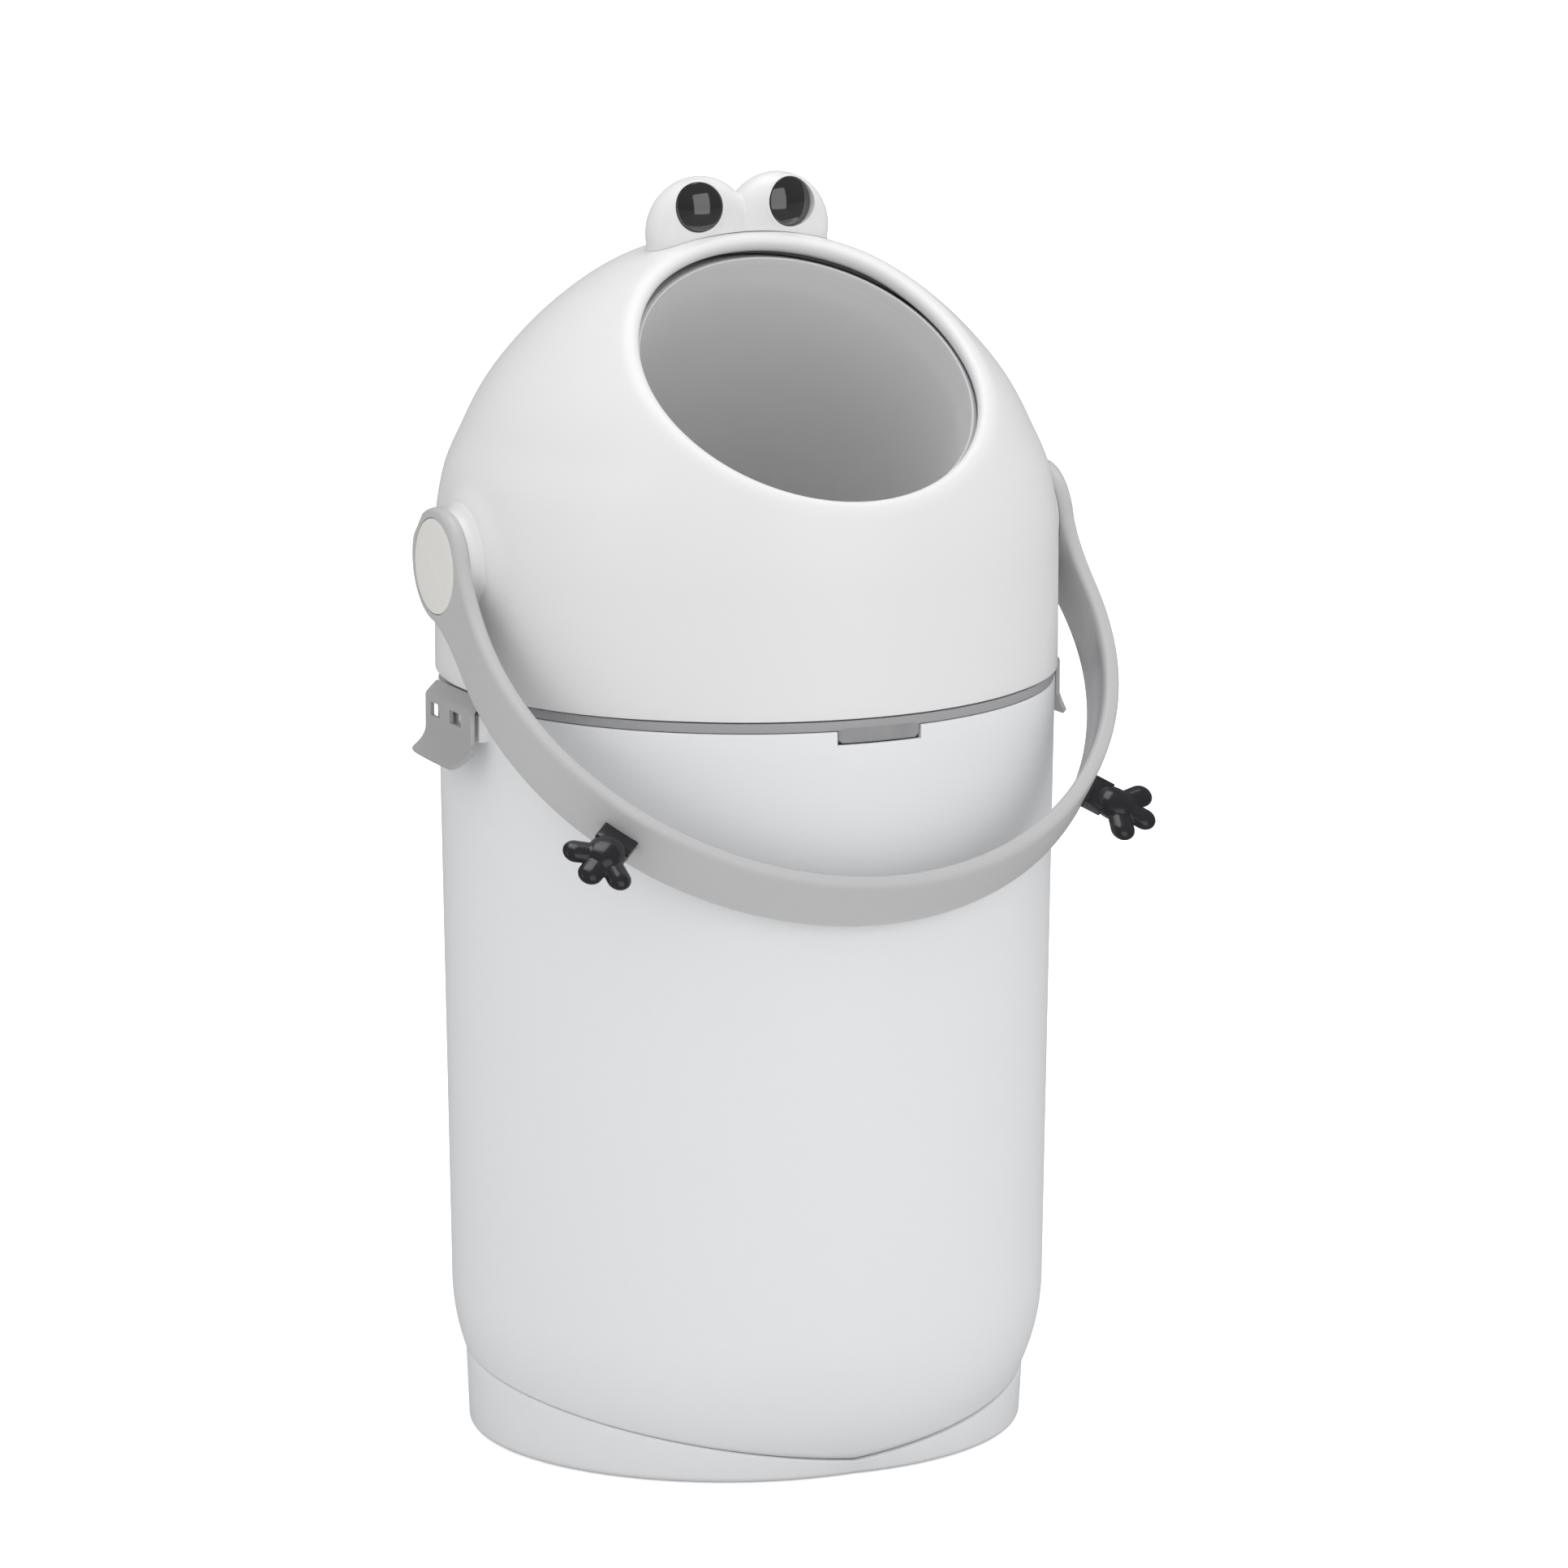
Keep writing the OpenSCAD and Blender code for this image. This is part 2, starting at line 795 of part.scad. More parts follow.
module end_ring() {
    skirt_in = sleeve_r + small_gap;
    skirt_low = sleeve_end - end_ring_skirt;
    rotate_extrude() polygon([
        [end_ring_in, sleeve_end],
        [end_ring_in, drum_rise(end_ring_in) - 0.3],
        [end_ring_in + 0.5, drum_rise(end_ring_in + 0.5)],
        [sleeve_r - 1.5, drum_rise(sleeve_r - 1.5)],
        [end_ring_r, drum_rise(end_ring_r)],
        [end_ring_r, skirt_low],
        [skirt_in, skirt_low],
        [skirt_in, sleeve_end]
    ]);
}

module drum_end_ring_front() {
    color(light_grey)
    along_mouth() end_ring();
}

module drum_end_ring_rear() {
    color(light_grey)
    along_mouth() mirror([0, 0, 1]) end_ring();
}

module drum_screws() {
    color(steel)
    pillar_places() rotate([0, 90, 0]) translate([0, 0, pillar_seat])
    rotate([180, 0, 0]) screw(screw_r, 2 * pillar_seat - 1, screw_head_r, screw_head_h);
}

module trunnion(side) {
    color(light_grey)
    along_axle(side)
    difference() {
        union() {
            translate([0, 0, flat_x]) cylinder(r = flange_r, h = flange_t);
            translate([0, 0, flat_x]) cylinder(r = axle_r, h = hub_in_x - flat_x);
            intersection() {
                translate([0, 0, hub_in_x - 1]) cylinder(r = axle_r, h = axle_end_x - hub_in_x + 1);
                translate([-axle_r, -key_half, 0]) cube([2 * axle_r, 2 * key_half, big]);
            }
            translate([0, 0, flat_x - 4]) cylinder(r = spigot_r - small_gap, h = 5);
        }
        translate([0, 0, axle_end_x - 16]) cylinder(r = screw_r + small_gap, h = 30);
    }
}

// ---- Handle ----

module strap_section() {
    half = strap_w / 2;
    r_out = hoop_r;
    r_in = hoop_r - strap_t;
    e = strap_edge;
    polygon([
        [r_in + e, -half], [r_out - e, -half], [r_out, -half + e],
        [r_out, half - e], [r_out - e, half], [r_in + e, half],
        [r_in, half - e], [r_in, half - channel_margin],
        [r_in + channel_d, half - channel_margin - 1],
        [r_in + channel_d, -half + channel_margin + 1],
        [r_in, -half + channel_margin], [r_in, -half + e]
    ]);
}

module hub(side) {
    along_handle() rotate([0, side * 90, 0])
    difference() {
        translate([0, 0, hub_in_x]) cylinder(r = hub_r, h = hub_out_x - hub_in_x);
        translate([0, 0, axle_end_x + web_t]) cylinder(r = cap_r + 0.25, h = 20);
    }
}

module neck(side) {
    neck_in = hub_in_x + 1;
    neck_w = 0.9 * strap_w;
    along_handle()
    translate([side > 0 ? neck_in : -neck_in - strap_t, -neck_end, -neck_w / 2])
    difference() {
        cube([strap_t, neck_end, neck_w]);
        translate([-1, neck_end - hub_r + 2, -1]) cube([strap_t + 2, hub_r, neck_w + 2]);
    }
}

// Origin on the hoop's outer face, +Z out of it, X along the hoop
module at_hand(side) {
    along_handle()
    translate([0, -hoop_reach, 0])
    rotate([0, 0, side * hand_turn])
    translate([0, -hoop_r, 0])
    rotate([90, 0, 0])
    children();
}

module handle_strap() {
    color(light_grey)
    difference() {
        union() {
            along_handle() difference() {
                translate([0, -hoop_reach, 0]) rotate_extrude() strap_section();
                translate([-big, -hoop_start, -big / 2]) cube([2 * big, big, big]);
            }
            for (side = [left, right]) {
                hub(side);
                neck(side);
            }
        }
        for (side = [left, right]) {
            along_axle(side) {
                intersection() {
                    cylinder(r = axle_r + small_gap, h = axle_end_x + small_gap);
                    translate([-axle_r - 1, -key_half - small_gap, 0])
                    cube([2 * axle_r + 2, 2 * key_half + 2 * small_gap, big]);
                }
                cylinder(r = screw_r + fit_gap, h = big);
            }
            at_hand(side)
            translate([0, 0, -strap_t / 2])
            cube([tenon_w + 2 * tenon_clearance, hand_t / 2 + 2 * tenon_clearance, strap_t + 4], center = true);
        }
    }
}

module hub_cap(side) {
    color(light_grey)
    along_axle(side) {
        translate([0, 0, hub_out_x - 1.4]) cylinder(r = cap_r, h = 1.4);
        ring(cap_r, cap_r - 1.8, axle_end_x + web_t + small_gap, hub_out_x - 1);
    }
}

module hub_screws() {
    color(steel)
    for (side = [left, right])
        along_axle(side) translate([0, 0, axle_end_x + web_t])
        rotate([180, 0, 0]) screw(screw_r, 16, 5, 1.8);
}

module hand_outline() {
    palm_r = 13;
    finger_r = 4.6;
    cuff_w = 21;
    cuff_h = 9;
    palm_z = 17;
    translate([-cuff_w / 2, 0.2]) square([cuff_w, cuff_h]);
    intersection() {
        translate([0, palm_z]) circle(r = palm_r);
        translate([-palm_r, 1]) square([2 * palm_r, 2 * palm_r]);
    }
    for (turn = [-38, 0, 38])
        translate([0, palm_z - 4]) rotate(turn) {
            translate([-finger_r, 0]) square([2 * finger_r, hand_reach - palm_z + 4 - finger_r]);
            translate([0, hand_reach - palm_z + 4 - finger_r]) circle(r = finger_r);
        }
}

module hand(side) {
    color(black)
    at_hand(side) {
        rotate([90, 0, 0]) translate([0, 0, -hand_t / 2]) linear_extrude(height = hand_t) hand_outline();
        translate([-tenon_w / 2, -hand_t / 4, -strap_t + channel_d])
        cube([tenon_w, hand_t / 2, strap_t - channel_d + 2]);
    }
}

// ---- Piston ----

piston_r = bore_r - piston_clearance;
barrel_out = bore_r - 4;
barrel_wall = 3;
piston_low = -sleeve_end + run_gap;
bolt_r = 3;

module at_piston() along_mouth() translate([0, 0, piston_low]) children();

module piston_disc_rear() {
    collar_t = 2;
    color(mid_grey)
    at_piston() difference() {
        union() {
            cylinder(r = piston_r, h = disc_t);
            ring(barrel_out - barrel_wall - fit_gap, barrel_out - barrel_wall - 2.5, disc_t - 0.5, disc_t + 5);
            ring(weight_r + fit_gap + collar_t, weight_r + fit_gap, disc_t - 0.5, disc_t + weight_t);
        }
        translate([0, 0, -1]) cylinder(r = bolt_r + fit_gap, h = 20);
        translate([0, 0, -1]) cylinder(r = 6.2, h = 2.4);
    }
}

module piston_disc_front() {
    color(mid_grey)
    at_piston() translate([0, 0, piston_len]) mirror([0, 0, 1]) {
        difference() {
            union() {
                cylinder(r = piston_r, h = disc_t);
                ring(barrel_out - barrel_wall - fit_gap, barrel_out - barrel_wall - 2.5, disc_t - 0.5, disc_t + 5);
                cylinder(r = 7, h = 16);
            }
            translate([0, 0, 2]) cylinder(r = bolt_r + small_gap, h = 40);
        }
    }
}

module piston_barrel() {
    color(mid_grey)
    at_piston() ring(barrel_out, barrel_out - barrel_wall, disc_t, piston_len - disc_t);
}

module piston_weight() {
    color(steel)
    at_piston() ring(weight_r, bolt_r + fit_gap, disc_t, disc_t + weight_t);
}

module piston_seals() {
    seal_t = 3;
    seal_r = bore_r - 0.35;
    color(seal_grey)
    at_piston() {
        ring(seal_r, barrel_out + small_gap, disc_t, disc_t + seal_t);
        ring(seal_r, barrel_out + small_gap, piston_len - disc_t - seal_t, piston_len - disc_t);
    }
}

module piston_bolt() {
    color(steel)
    at_piston() {
        translate([0, 0, 0.2]) cylinder(r = 6, h = 1.2);
        translate([0, 0, 0.2]) cylinder(r = bolt_r, h = piston_len - 3);
    }
}

bin_body();
base_foot();
foot_pads();
foot_screws();
head_ring();
head_gasket();
dome_shell();
mouth_seal();
drum_seal();
ring_screws();
bearing_bush(left);  // bearing_bush_left
bearing_bush(right);  // bearing_bush_right
eye_pod();
eye_lens(left);  // eye_lens_left
eye_lens(right);  // eye_lens_right
eye_pod_screws();
clip(left);  // clip_left
clip(right);  // clip_right
clip_pin(left);  // clip_pin_left
clip_pin(right);  // clip_pin_right
drum_half_left();
drum_half_right();
drum_sleeve();
drum_end_ring_front();
drum_end_ring_rear();
drum_screws();
trunnion(left);  // trunnion_left
trunnion(right);  // trunnion_right
handle_strap();
hub_cap(left);  // hub_cap_left
hub_cap(right);  // hub_cap_right
hub_screws();
hand(left);  // hand_left
hand(right);  // hand_right
piston_disc_front();
piston_disc_rear();
piston_barrel();
piston_weight();
piston_seals();
piston_bolt();
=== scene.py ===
import json
import bmesh
import bpy
import numpy as np
from math import asin, atan2, copysign, cos, degrees, hypot, pi, radians, sin, sqrt
from mathutils import Matrix, Vector


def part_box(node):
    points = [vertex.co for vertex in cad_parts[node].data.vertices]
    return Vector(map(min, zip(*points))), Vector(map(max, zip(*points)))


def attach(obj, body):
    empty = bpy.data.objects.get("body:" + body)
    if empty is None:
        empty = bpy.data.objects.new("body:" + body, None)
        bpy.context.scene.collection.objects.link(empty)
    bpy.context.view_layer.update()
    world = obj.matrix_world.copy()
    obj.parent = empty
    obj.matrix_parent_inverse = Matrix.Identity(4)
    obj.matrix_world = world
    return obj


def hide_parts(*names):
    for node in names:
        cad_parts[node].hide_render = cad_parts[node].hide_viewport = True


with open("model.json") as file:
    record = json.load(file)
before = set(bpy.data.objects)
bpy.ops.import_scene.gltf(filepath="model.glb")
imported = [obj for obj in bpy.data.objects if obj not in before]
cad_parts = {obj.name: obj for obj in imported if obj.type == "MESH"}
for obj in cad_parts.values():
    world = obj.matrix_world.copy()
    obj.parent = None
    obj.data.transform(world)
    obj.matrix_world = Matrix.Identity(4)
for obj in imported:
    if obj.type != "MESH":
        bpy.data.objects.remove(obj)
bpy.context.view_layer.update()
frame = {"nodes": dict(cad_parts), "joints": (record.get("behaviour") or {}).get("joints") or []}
nodes = frame["nodes"]
print("frame loaded:", len(nodes), "nodes")

# what the pieces share, from the frame where the frame has it
mm = 0.001
hingeAt = {joint["name"]: joint["pos_m"] for joint in frame["joints"] if "pos_m" in joint}
pivotZ = hingeAt["drum_turn"][2]
pivot = Vector((0, 0, pivotZ))
clipHingeX, clipHingeZ = hingeAt["clip_right_swing"][0], hingeAt["clip_right_swing"][2]
sideAxis = Vector((1, 0, 0))
mouthTilt = radians(52.4)    # from level up to the mouth's axis
mouthAxis = Vector((0, -cos(mouthTilt), sin(mouthTilt)))
mouthUp = Vector((0, mouthAxis.z, -mouthAxis.y))
domeLow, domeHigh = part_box("dome_shell")
domeEdgeZ = domeLow.z
bossRise = 1 * mm    # the solid's side bosses stand this far out of the sphere
domeR = (domeHigh.x - domeLow.x) / 2 - bossRise
tip = 0.02 * mm    # a turned profile stops this short of its axis


def ease(share):    # smooth step between 0 and 1
    share = min(1.0, max(0.0, share))
    return share * share * (3 - 2 * share)


def fade(value, start, span):    # from 0 at start to 1 a span further on
    return ease((value - start) / span)


def sized(plain=None, **lengths):    # a piece's plain numbers, and its lengths as written in mm
    def scaled(value):
        return tuple(scaled(v) for v in value) if isinstance(value, tuple) else value * mm
    return {**(plain or {}), **{name: scaled(value) for name, value in lengths.items()}}


def sideName(side):
    return "left" if side < 0 else "right"


def endName(way):
    return "front" if way < 0 else "rear"


def setUp(thing, **settings):
    for name, value in settings.items():
        setattr(thing, name, value)
    return thing


def placed(name, data):    # an object in the scene
    thing = bpy.data.objects.new(name, data)
    bpy.context.scene.collection.objects.link(thing)
    return thing


# helpers for node trees
def feed(tree, item, socket):    # numbers and colours are set, sockets are linked
    if isinstance(item, (int, float, tuple)):
        socket.default_value = item
    else:
        tree.links.new(item, socket)


def addNode(tree, kind, inputs=None, **settings):
    node = setUp(tree.nodes.new(kind), **settings)
    for key, item in (inputs or {}).items():
        feed(tree, item, node.inputs[key])
    return node


def addMath(tree, operation, first, second):
    return addNode(tree, "ShaderNodeMath", {0: first, 1: second}, operation=operation).outputs[0]


def plus(tree, first, second):
    return addMath(tree, "ADD", first, second)


def times(tree, first, second):
    return addMath(tree, "MULTIPLY", first, second)


def addRange(tree, value, fromLow, fromHigh, toLow=0.0, toHigh=1.0, curve="SMOOTHSTEP"):
    given = dict(enumerate((value, fromLow, fromHigh, toLow, toHigh)))
    return addNode(tree, "ShaderNodeMapRange", given, interpolation_type=curve).outputs[0]


def addNoise(tree, vector, scale, detail=3.0, rough=0.5):
    given = {"Vector": vector, "Scale": scale, "Detail": detail, "Roughness": rough}
    return addNode(tree, "ShaderNodeTexNoise", given).outputs["Fac"]


def objectPlace(tree):
    return addNode(tree, "ShaderNodeTexCoord").outputs["Object"]


def mixColours(tree, mask, base, over):    # inputs 6 and 7 and output 2 of a Mix node are its colours
    return addNode(tree, "ShaderNodeMix", {0: mask, 6: base, 7: over}, data_type="RGBA").outputs[2]


def newGroup(name, inputs, output, kind="NodeSocketFloat"):
    group = bpy.data.node_groups.new(name, "ShaderNodeTree")
    for socketName, value in inputs.items():
        socket = group.interface.new_socket(socketName, in_out="INPUT", socket_type="NodeSocketFloat")
        socket.default_value = value
    group.interface.new_socket(output, in_out="OUTPUT", socket_type=kind)
    given = group.nodes.new("NodeGroupInput").outputs
    return group, given, group.nodes.new("NodeGroupOutput").inputs[output]


# surface effects that the materials share
def buildToneDrift():    # slow change of tone over a moulded wall
    group, given, out = newGroup("toneDrift", {"Scale": 6.0, "Amount": 0.03}, "Tone")
    place = objectPlace(group)
    slow = addNoise(group, place, given["Scale"], 2.0)
    fine = addNoise(group, place, times(group, given["Scale"], 9.0))
    both = plus(group, times(group, slow, 0.7), times(group, fine, 0.3))
    spread = times(group, addMath(group, "SUBTRACT", both, 0.5), given["Amount"])
    feed(group, plus(group, times(group, spread, 4.0), 1.0), out)
    return group


def buildMouldGrain():    # fine spark-eroded texture of a moulded face
    inputs = {"Scale": 1400.0, "Depth": 0.02, "Waviness": 0.15}
    group, given, out = newGroup("mouldGrain", inputs, "Normal", "NodeSocketVector")
    place = objectPlace(group)
    grain = addNoise(group, place, given["Scale"], 2.0, 0.6)
    sink = addNoise(group, place, 11.0, 1.0, 0.4)    # broad shallow waves of the wall
    height = plus(group, grain, times(group, sink, times(group, given["Waviness"], 10.0)))
    relief = {"Distance": 1 * mm, "Strength": given["Depth"], "Height": height}
    bump = addNode(group, "ShaderNodeBump", relief)
    feed(group, bump.outputs["Normal"], out)
    return group


def buildEdgeWearAndHighlight():    # paler outer edges: partly rubbed wear, partly a painted highlight along the edges
    inputs = {"Start": 0.53, "Width": 0.06, "Breakup": 60.0}
    group, given, out = newGroup("edgeWear", inputs, "Mask")
    pointiness = addNode(group, "ShaderNodeNewGeometry").outputs["Pointiness"]
    edge = addRange(group, pointiness, given["Start"], plus(group, given["Start"], given["Width"]))
    gaps = addRange(group, addNoise(group, objectPlace(group), given["Breakup"]), 0.35, 0.65, 0.35)
    feed(group, times(group, edge, gaps), out)
    return group


def buildRestingDust():    # thin dust on faces that look up
    group, given, out = newGroup("restingDust", {"Scale": 90.0, "Cover": 0.3}, "Mask")
    normal = addNode(group, "ShaderNodeNewGeometry").outputs["Normal"]
    split = addNode(group, "ShaderNodeSeparateXYZ", {0: normal})
    upward = addRange(group, split.outputs["Z"], 0.45, 1.0)
    specks = addRange(group, addNoise(group, objectPlace(group), given["Scale"], 6.0, 0.65), 0.42, 0.72)
    feed(group, times(group, times(group, upward, specks), given["Cover"]), out)
    return group


def buildHandling():    # smears and fine scuffs that change the gloss
    inputs = {"Base": 0.35, "Spread": 0.08, "Scale": 14.0}
    group, given, out = newGroup("handling", inputs, "Roughness")
    place = objectPlace(group)
    stretch = addNode(group, "ShaderNodeMapping", {"Vector": place, "Scale": (1.0, 1.0, 5.0)})
    smear = addNoise(group, place, given["Scale"], 4.0, 0.6)
    scuff = addNoise(group, stretch.outputs["Vector"], times(group, given["Scale"], 22.0), 2.0, 0.7)
    scuffMask = addRange(group, scuff, 0.62, 0.74)
    shift = times(group, addMath(group, "SUBTRACT", smear, 0.5), given["Spread"])
    smeared = plus(group, given["Base"], times(group, shift, 2.0))
    feed(group, plus(group, smeared, times(group, scuffMask, given["Spread"])), out)
    return group


toneDrift = buildToneDrift()
mouldGrain = buildMouldGrain()
edgeWear = buildEdgeWearAndHighlight()
restingDust = buildRestingDust()
handling = buildHandling()


def placeGroup(tree, group, output, **values):
    return addNode(tree, "ShaderNodeGroup", values, node_tree=group).outputs[output]


def linearColour(colour):    # from the hex code of a colour as a screen shows it
    shares = [int(colour[i:i + 2], 16) / 255 for i in (0, 2, 4)]
    linear = [c / 12.92 if c <= 0.04045 else ((c + 0.055) / 1.055) ** 2.4 for c in shares]
    return tuple(linear) + (1,)


driftScale = 5.0
dustDulls = 0.25    # how much rougher full dust makes a face
coatRoughness = 0.06


def plastic(name, colour, edge, dust, roughness, grain, depth=0.05, drift=0.012, waviness=0.1, coat=0.0,
            coatIor=1.5, wearAndHighlight=0.4, cover=0.15, spread=0.07, metal=0.0, specular=0.5):
    material = bpy.data.materials.new(name)
    material.use_nodes = True
    tree = material.node_tree
    tone = placeGroup(tree, toneDrift, "Tone", Scale=driftScale, Amount=drift)
    # edges turn paler from wear and from a painted highlight
    rubbedAndLitEdge = times(tree, placeGroup(tree, edgeWear, "Mask"), wearAndHighlight)
    dusty = placeGroup(tree, restingDust, "Mask", Cover=cover)
    gloss = placeGroup(tree, handling, "Roughness", Base=roughness, Spread=spread)
    toned = addNode(tree, "ShaderNodeHueSaturation", {"Color": linearColour(colour), "Value": tone})
    wornAndLitColour = mixColours(tree, rubbedAndLitEdge, toned.outputs["Color"], linearColour(edge))
    finish = {
        "Base Color": mixColours(tree, dusty, wornAndLitColour, linearColour(dust)),
        "Roughness": plus(tree, gloss, times(tree, dusty, dustDulls)),
        "Normal": placeGroup(tree, mouldGrain, "Normal", Scale=grain, Depth=depth, Waviness=waviness),
        "Metallic": metal,
        "Specular IOR Level": specular,
        "Coat Weight": coat,
        "Coat IOR": coatIor,
        "Coat Roughness": coatRoughness,
    }
    for socketName, item in finish.items():
        feed(tree, item, tree.nodes["Principled BSDF"].inputs[socketName])
    return material


# name, then the colours of the face, its paler edges (rubbed wear and painted highlight) and its dust, and
# how rough it is
whiteShell = plastic(
    "white satin plastic", "e2e2e3", "eeeeee", "d0cdc7", 0.34,
    grain=1500, depth=0.035, drift=0.006, wearAndHighlight=0.5, cover=0.12)
whiteBody = plastic(
    "white bin plastic", "e2e3e5", "ececed", "ccc9c3", 0.40,
    grain=1100, drift=0.008, wearAndHighlight=0.5, cover=0.12)
podShell = plastic(
    "white eye pod plastic", "e2e2e3", "eeeeee", "d0cdc7", 0.30,
    grain=1700, depth=0.025, drift=0.005, wearAndHighlight=0.3, cover=0.10)
handleGrey = plastic(
    "light grey handle plastic", "bababb", "d6d6d6", "bebbb5", 0.36,
    grain=1300, drift=0.010, wearAndHighlight=0.6)
capGrey = plastic(
    "warm grey cap plastic", "dfdeda", "e5e4df", "c4c0b8", 0.36,
    grain=1500, depth=0.04, drift=0.006, cover=0.10)
ringGrey = plastic(
    "mid grey ring plastic", "9e9ea0", "b2b2b3", "96938e", 0.40,
    grain=1200, wearAndHighlight=0.5)
# the tab is the band's grey plastic, made darker here as painted shade
shadedTabGrey = plastic(
    "mid grey tab plastic", "88888a", "a0a0a1", "928f8a", 0.42,
    grain=1200, wearAndHighlight=0.5)
clipGrey = plastic(
    "grey clip plastic", "a9a8a9", "cccbcc", "a5a19c", 0.33,
    grain=1200, drift=0.010, wearAndHighlight=0.6)
boreGrey = plastic(
    "grey bore plastic", "d5d5d6", "e0e0e1", "c4c1bb", 0.36,
    grain=900)
drumGrey = plastic(
    "drum plastic", "bebec0", "cecece", "b8b5af", 0.42,
    grain=1000)
sealRubber = plastic(
    "dark seal rubber", "4a4a4e", "605f60", "6e6a64", 0.62,
    grain=700, depth=0.12, drift=0.03, cover=0.25, specular=0.3)
# pale grey seal in the mouth's gap, lighter than its shade would show: painted light
paleLipSealLiftingShade = plastic(
    "pale lip silicone", "969698", "a6a6a7", "a09d97", 0.55,
    grain=700, depth=0.10, drift=0.03, cover=0.20, specular=0.35)
padRubber = plastic(
    "foot pad rubber", "464649", "5c5b5b", "69655f", 0.70,
    grain=500, depth=0.15, drift=0.03, cover=0.20, specular=0.3)
blackGloss = plastic(
    "gloss black plastic", "1b1b1e", "343437", "464442", 0.08,
    grain=900, depth=0.006, drift=0.05, wearAndHighlight=0.3, cover=0.03, spread=0.02,
    coat=1.0, coatIor=2.0, specular=0.8)
handGloss = plastic(
    "black hand plastic", "242428", "3c3c40", "484644", 0.22,
    grain=1000, depth=0.015, drift=0.05, waviness=0.3, coat=0.4, wearAndHighlight=0.3, cover=0.05, spread=0.05)
zincSteel = plastic(
    "zinc plated steel", "b0b4ba", "d6d8dc", "8c8882", 0.32,
    grain=2200, drift=0.04, wearAndHighlight=0.6, cover=0.10, metal=1.0)
print("materials ready")


# helpers for meshes
def smoothShade(mesh, sharp):    # edges steeper than sharp degrees stay crisp
    mesh.shade_smooth()
    mesh.set_sharp_from_angle(angle=radians(sharp))


def meshPiece(name, points, faces, material, sharp=38, body=None, slot=None):
    mesh = bpy.data.meshes.new(name)
    mesh.from_pydata([tuple(float(c) for c in p) for p in points], [], faces)
    mesh.validate()
    tidy = bmesh.new()
    tidy.from_mesh(mesh)
    bmesh.ops.remove_doubles(tidy, verts=tidy.verts, dist=1e-6)
    bmesh.ops.recalc_face_normals(tidy, faces=tidy.faces)
    tidy.to_mesh(mesh)
    tidy.free()
    smoothShade(mesh, sharp)
    mesh.materials.append(material)
    piece = placed(name, mesh)
    if body:
        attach(piece, body)
    return piece


def gridFaces(rows, columns, wrapRows=False, wrapColumns=True):
    faces = []
    for r in range(rows if wrapRows else rows - 1):
        for c in range(columns if wrapColumns else columns - 1):
            here, above = r * columns, (r + 1) % rows * columns
            c2 = (c + 1) % columns
            faces.append((here + c, here + c2, above + c2, above + c))
    return faces


def gridPiece(name, rows, material, wrapRows=False, capEnds=False, **rest):
    count, width = len(rows), len(rows[0])
    faces = gridFaces(count, width, wrapRows)
    if capEnds:
        faces += [tuple(range(width)), tuple((count - 1) * width + c for c in reversed(range(width)))]
    return meshPiece(name, [p for row in rows for p in row], faces, material, **rest)


def arc(centre, radius, fromDeg, toDeg, steps):
    angles = [radians(a) for a in np.linspace(fromDeg, toDeg, steps)]
    return [(centre[0] + radius * cos(a), centre[1] + radius * sin(a)) for a in angles]


def evenTurn(count):    # angles once round
    return np.linspace(0, 2 * pi, count, endpoint=False)


def rod(core, radius, low, high):    # profile of a plain disc or bar
    return [(core, low), (radius, low), (radius, high), (core, high)]


def tube(bore, outer, low, high, edge):    # profile of a tube with softened outer edges
    ends = arc((outer - edge, low + edge), edge, -90, 0, 4) + arc((outer - edge, high - edge), edge, 0, 90, 4)
    return [(bore, low)] + ends + [(bore, high)]


def lathe(name, profile, material, origin=pivot, axis=(0, 0, 1), turns=128, closed=True, **rest):
    # the profile is pairs of a radius and a distance along the axis
    axis = Vector(axis).normalized()
    first = sideAxis if abs(axis.x) < 0.9 else Vector((0, 1, 0))
    first = (first - axis * first.dot(axis)).normalized()
    second = axis.cross(first)
    spokes = [first * cos(t) + second * sin(t) for t in evenTurn(turns)]
    rows = [[Vector(origin) + axis * along + spoke * radius for spoke in spokes] for radius, along in profile]
    return gridPiece(name, rows, material, wrapRows=closed, **rest)


def upright(middle, out, pairs):    # pairs of a radius and a height, in one upright plane
    return [middle + out * r + Vector((0, 0, z)) for r, z in pairs]


def applyModifiers(piece):
    view = bpy.context.evaluated_depsgraph_get()
    mesh = bpy.data.meshes.new_from_object(piece.evaluated_get(view))
    old = piece.data
    piece.modifiers.clear()
    piece.data = mesh
    bpy.data.meshes.remove(old)


def cutAway(piece, cutter):
    cut = piece.modifiers.new("cut", "BOOLEAN")
    setUp(cut, operation="DIFFERENCE", solver="EXACT", object=cutter)
    bpy.context.view_layer.update()
    applyModifiers(piece)
    bpy.data.objects.remove(cutter)


def meltTogether(piece, voxel, rounds):    # one skin over the parts, then rounds of smoothing
    setUp(piece.modifiers.new("melt", "REMESH"), mode="VOXEL", voxel_size=voxel)
    setUp(piece.modifiers.new("relax", "SMOOTH"), iterations=rounds, factor=0.5)
    applyModifiers(piece)


def roundedBox(name, low, high, radius, material, **rest):
    low, high = Vector(low), Vector(high)
    box = bmesh.new()
    bmesh.ops.create_cube(box, size=1)
    size, middle = high - low, (high + low) / 2
    for vertex in box.verts:
        vertex.co = Vector([c * s for c, s in zip(vertex.co, size)]) + middle
    bmesh.ops.bevel(box, geom=list(box.edges), offset=radius, segments=3, profile=0.5, affect="EDGES")
    points = [v.co.copy() for v in box.verts]
    faces = [tuple(v.index for v in f.verts) for f in box.faces]
    box.free()
    return meshPiece(name, points, faces, material, **rest)


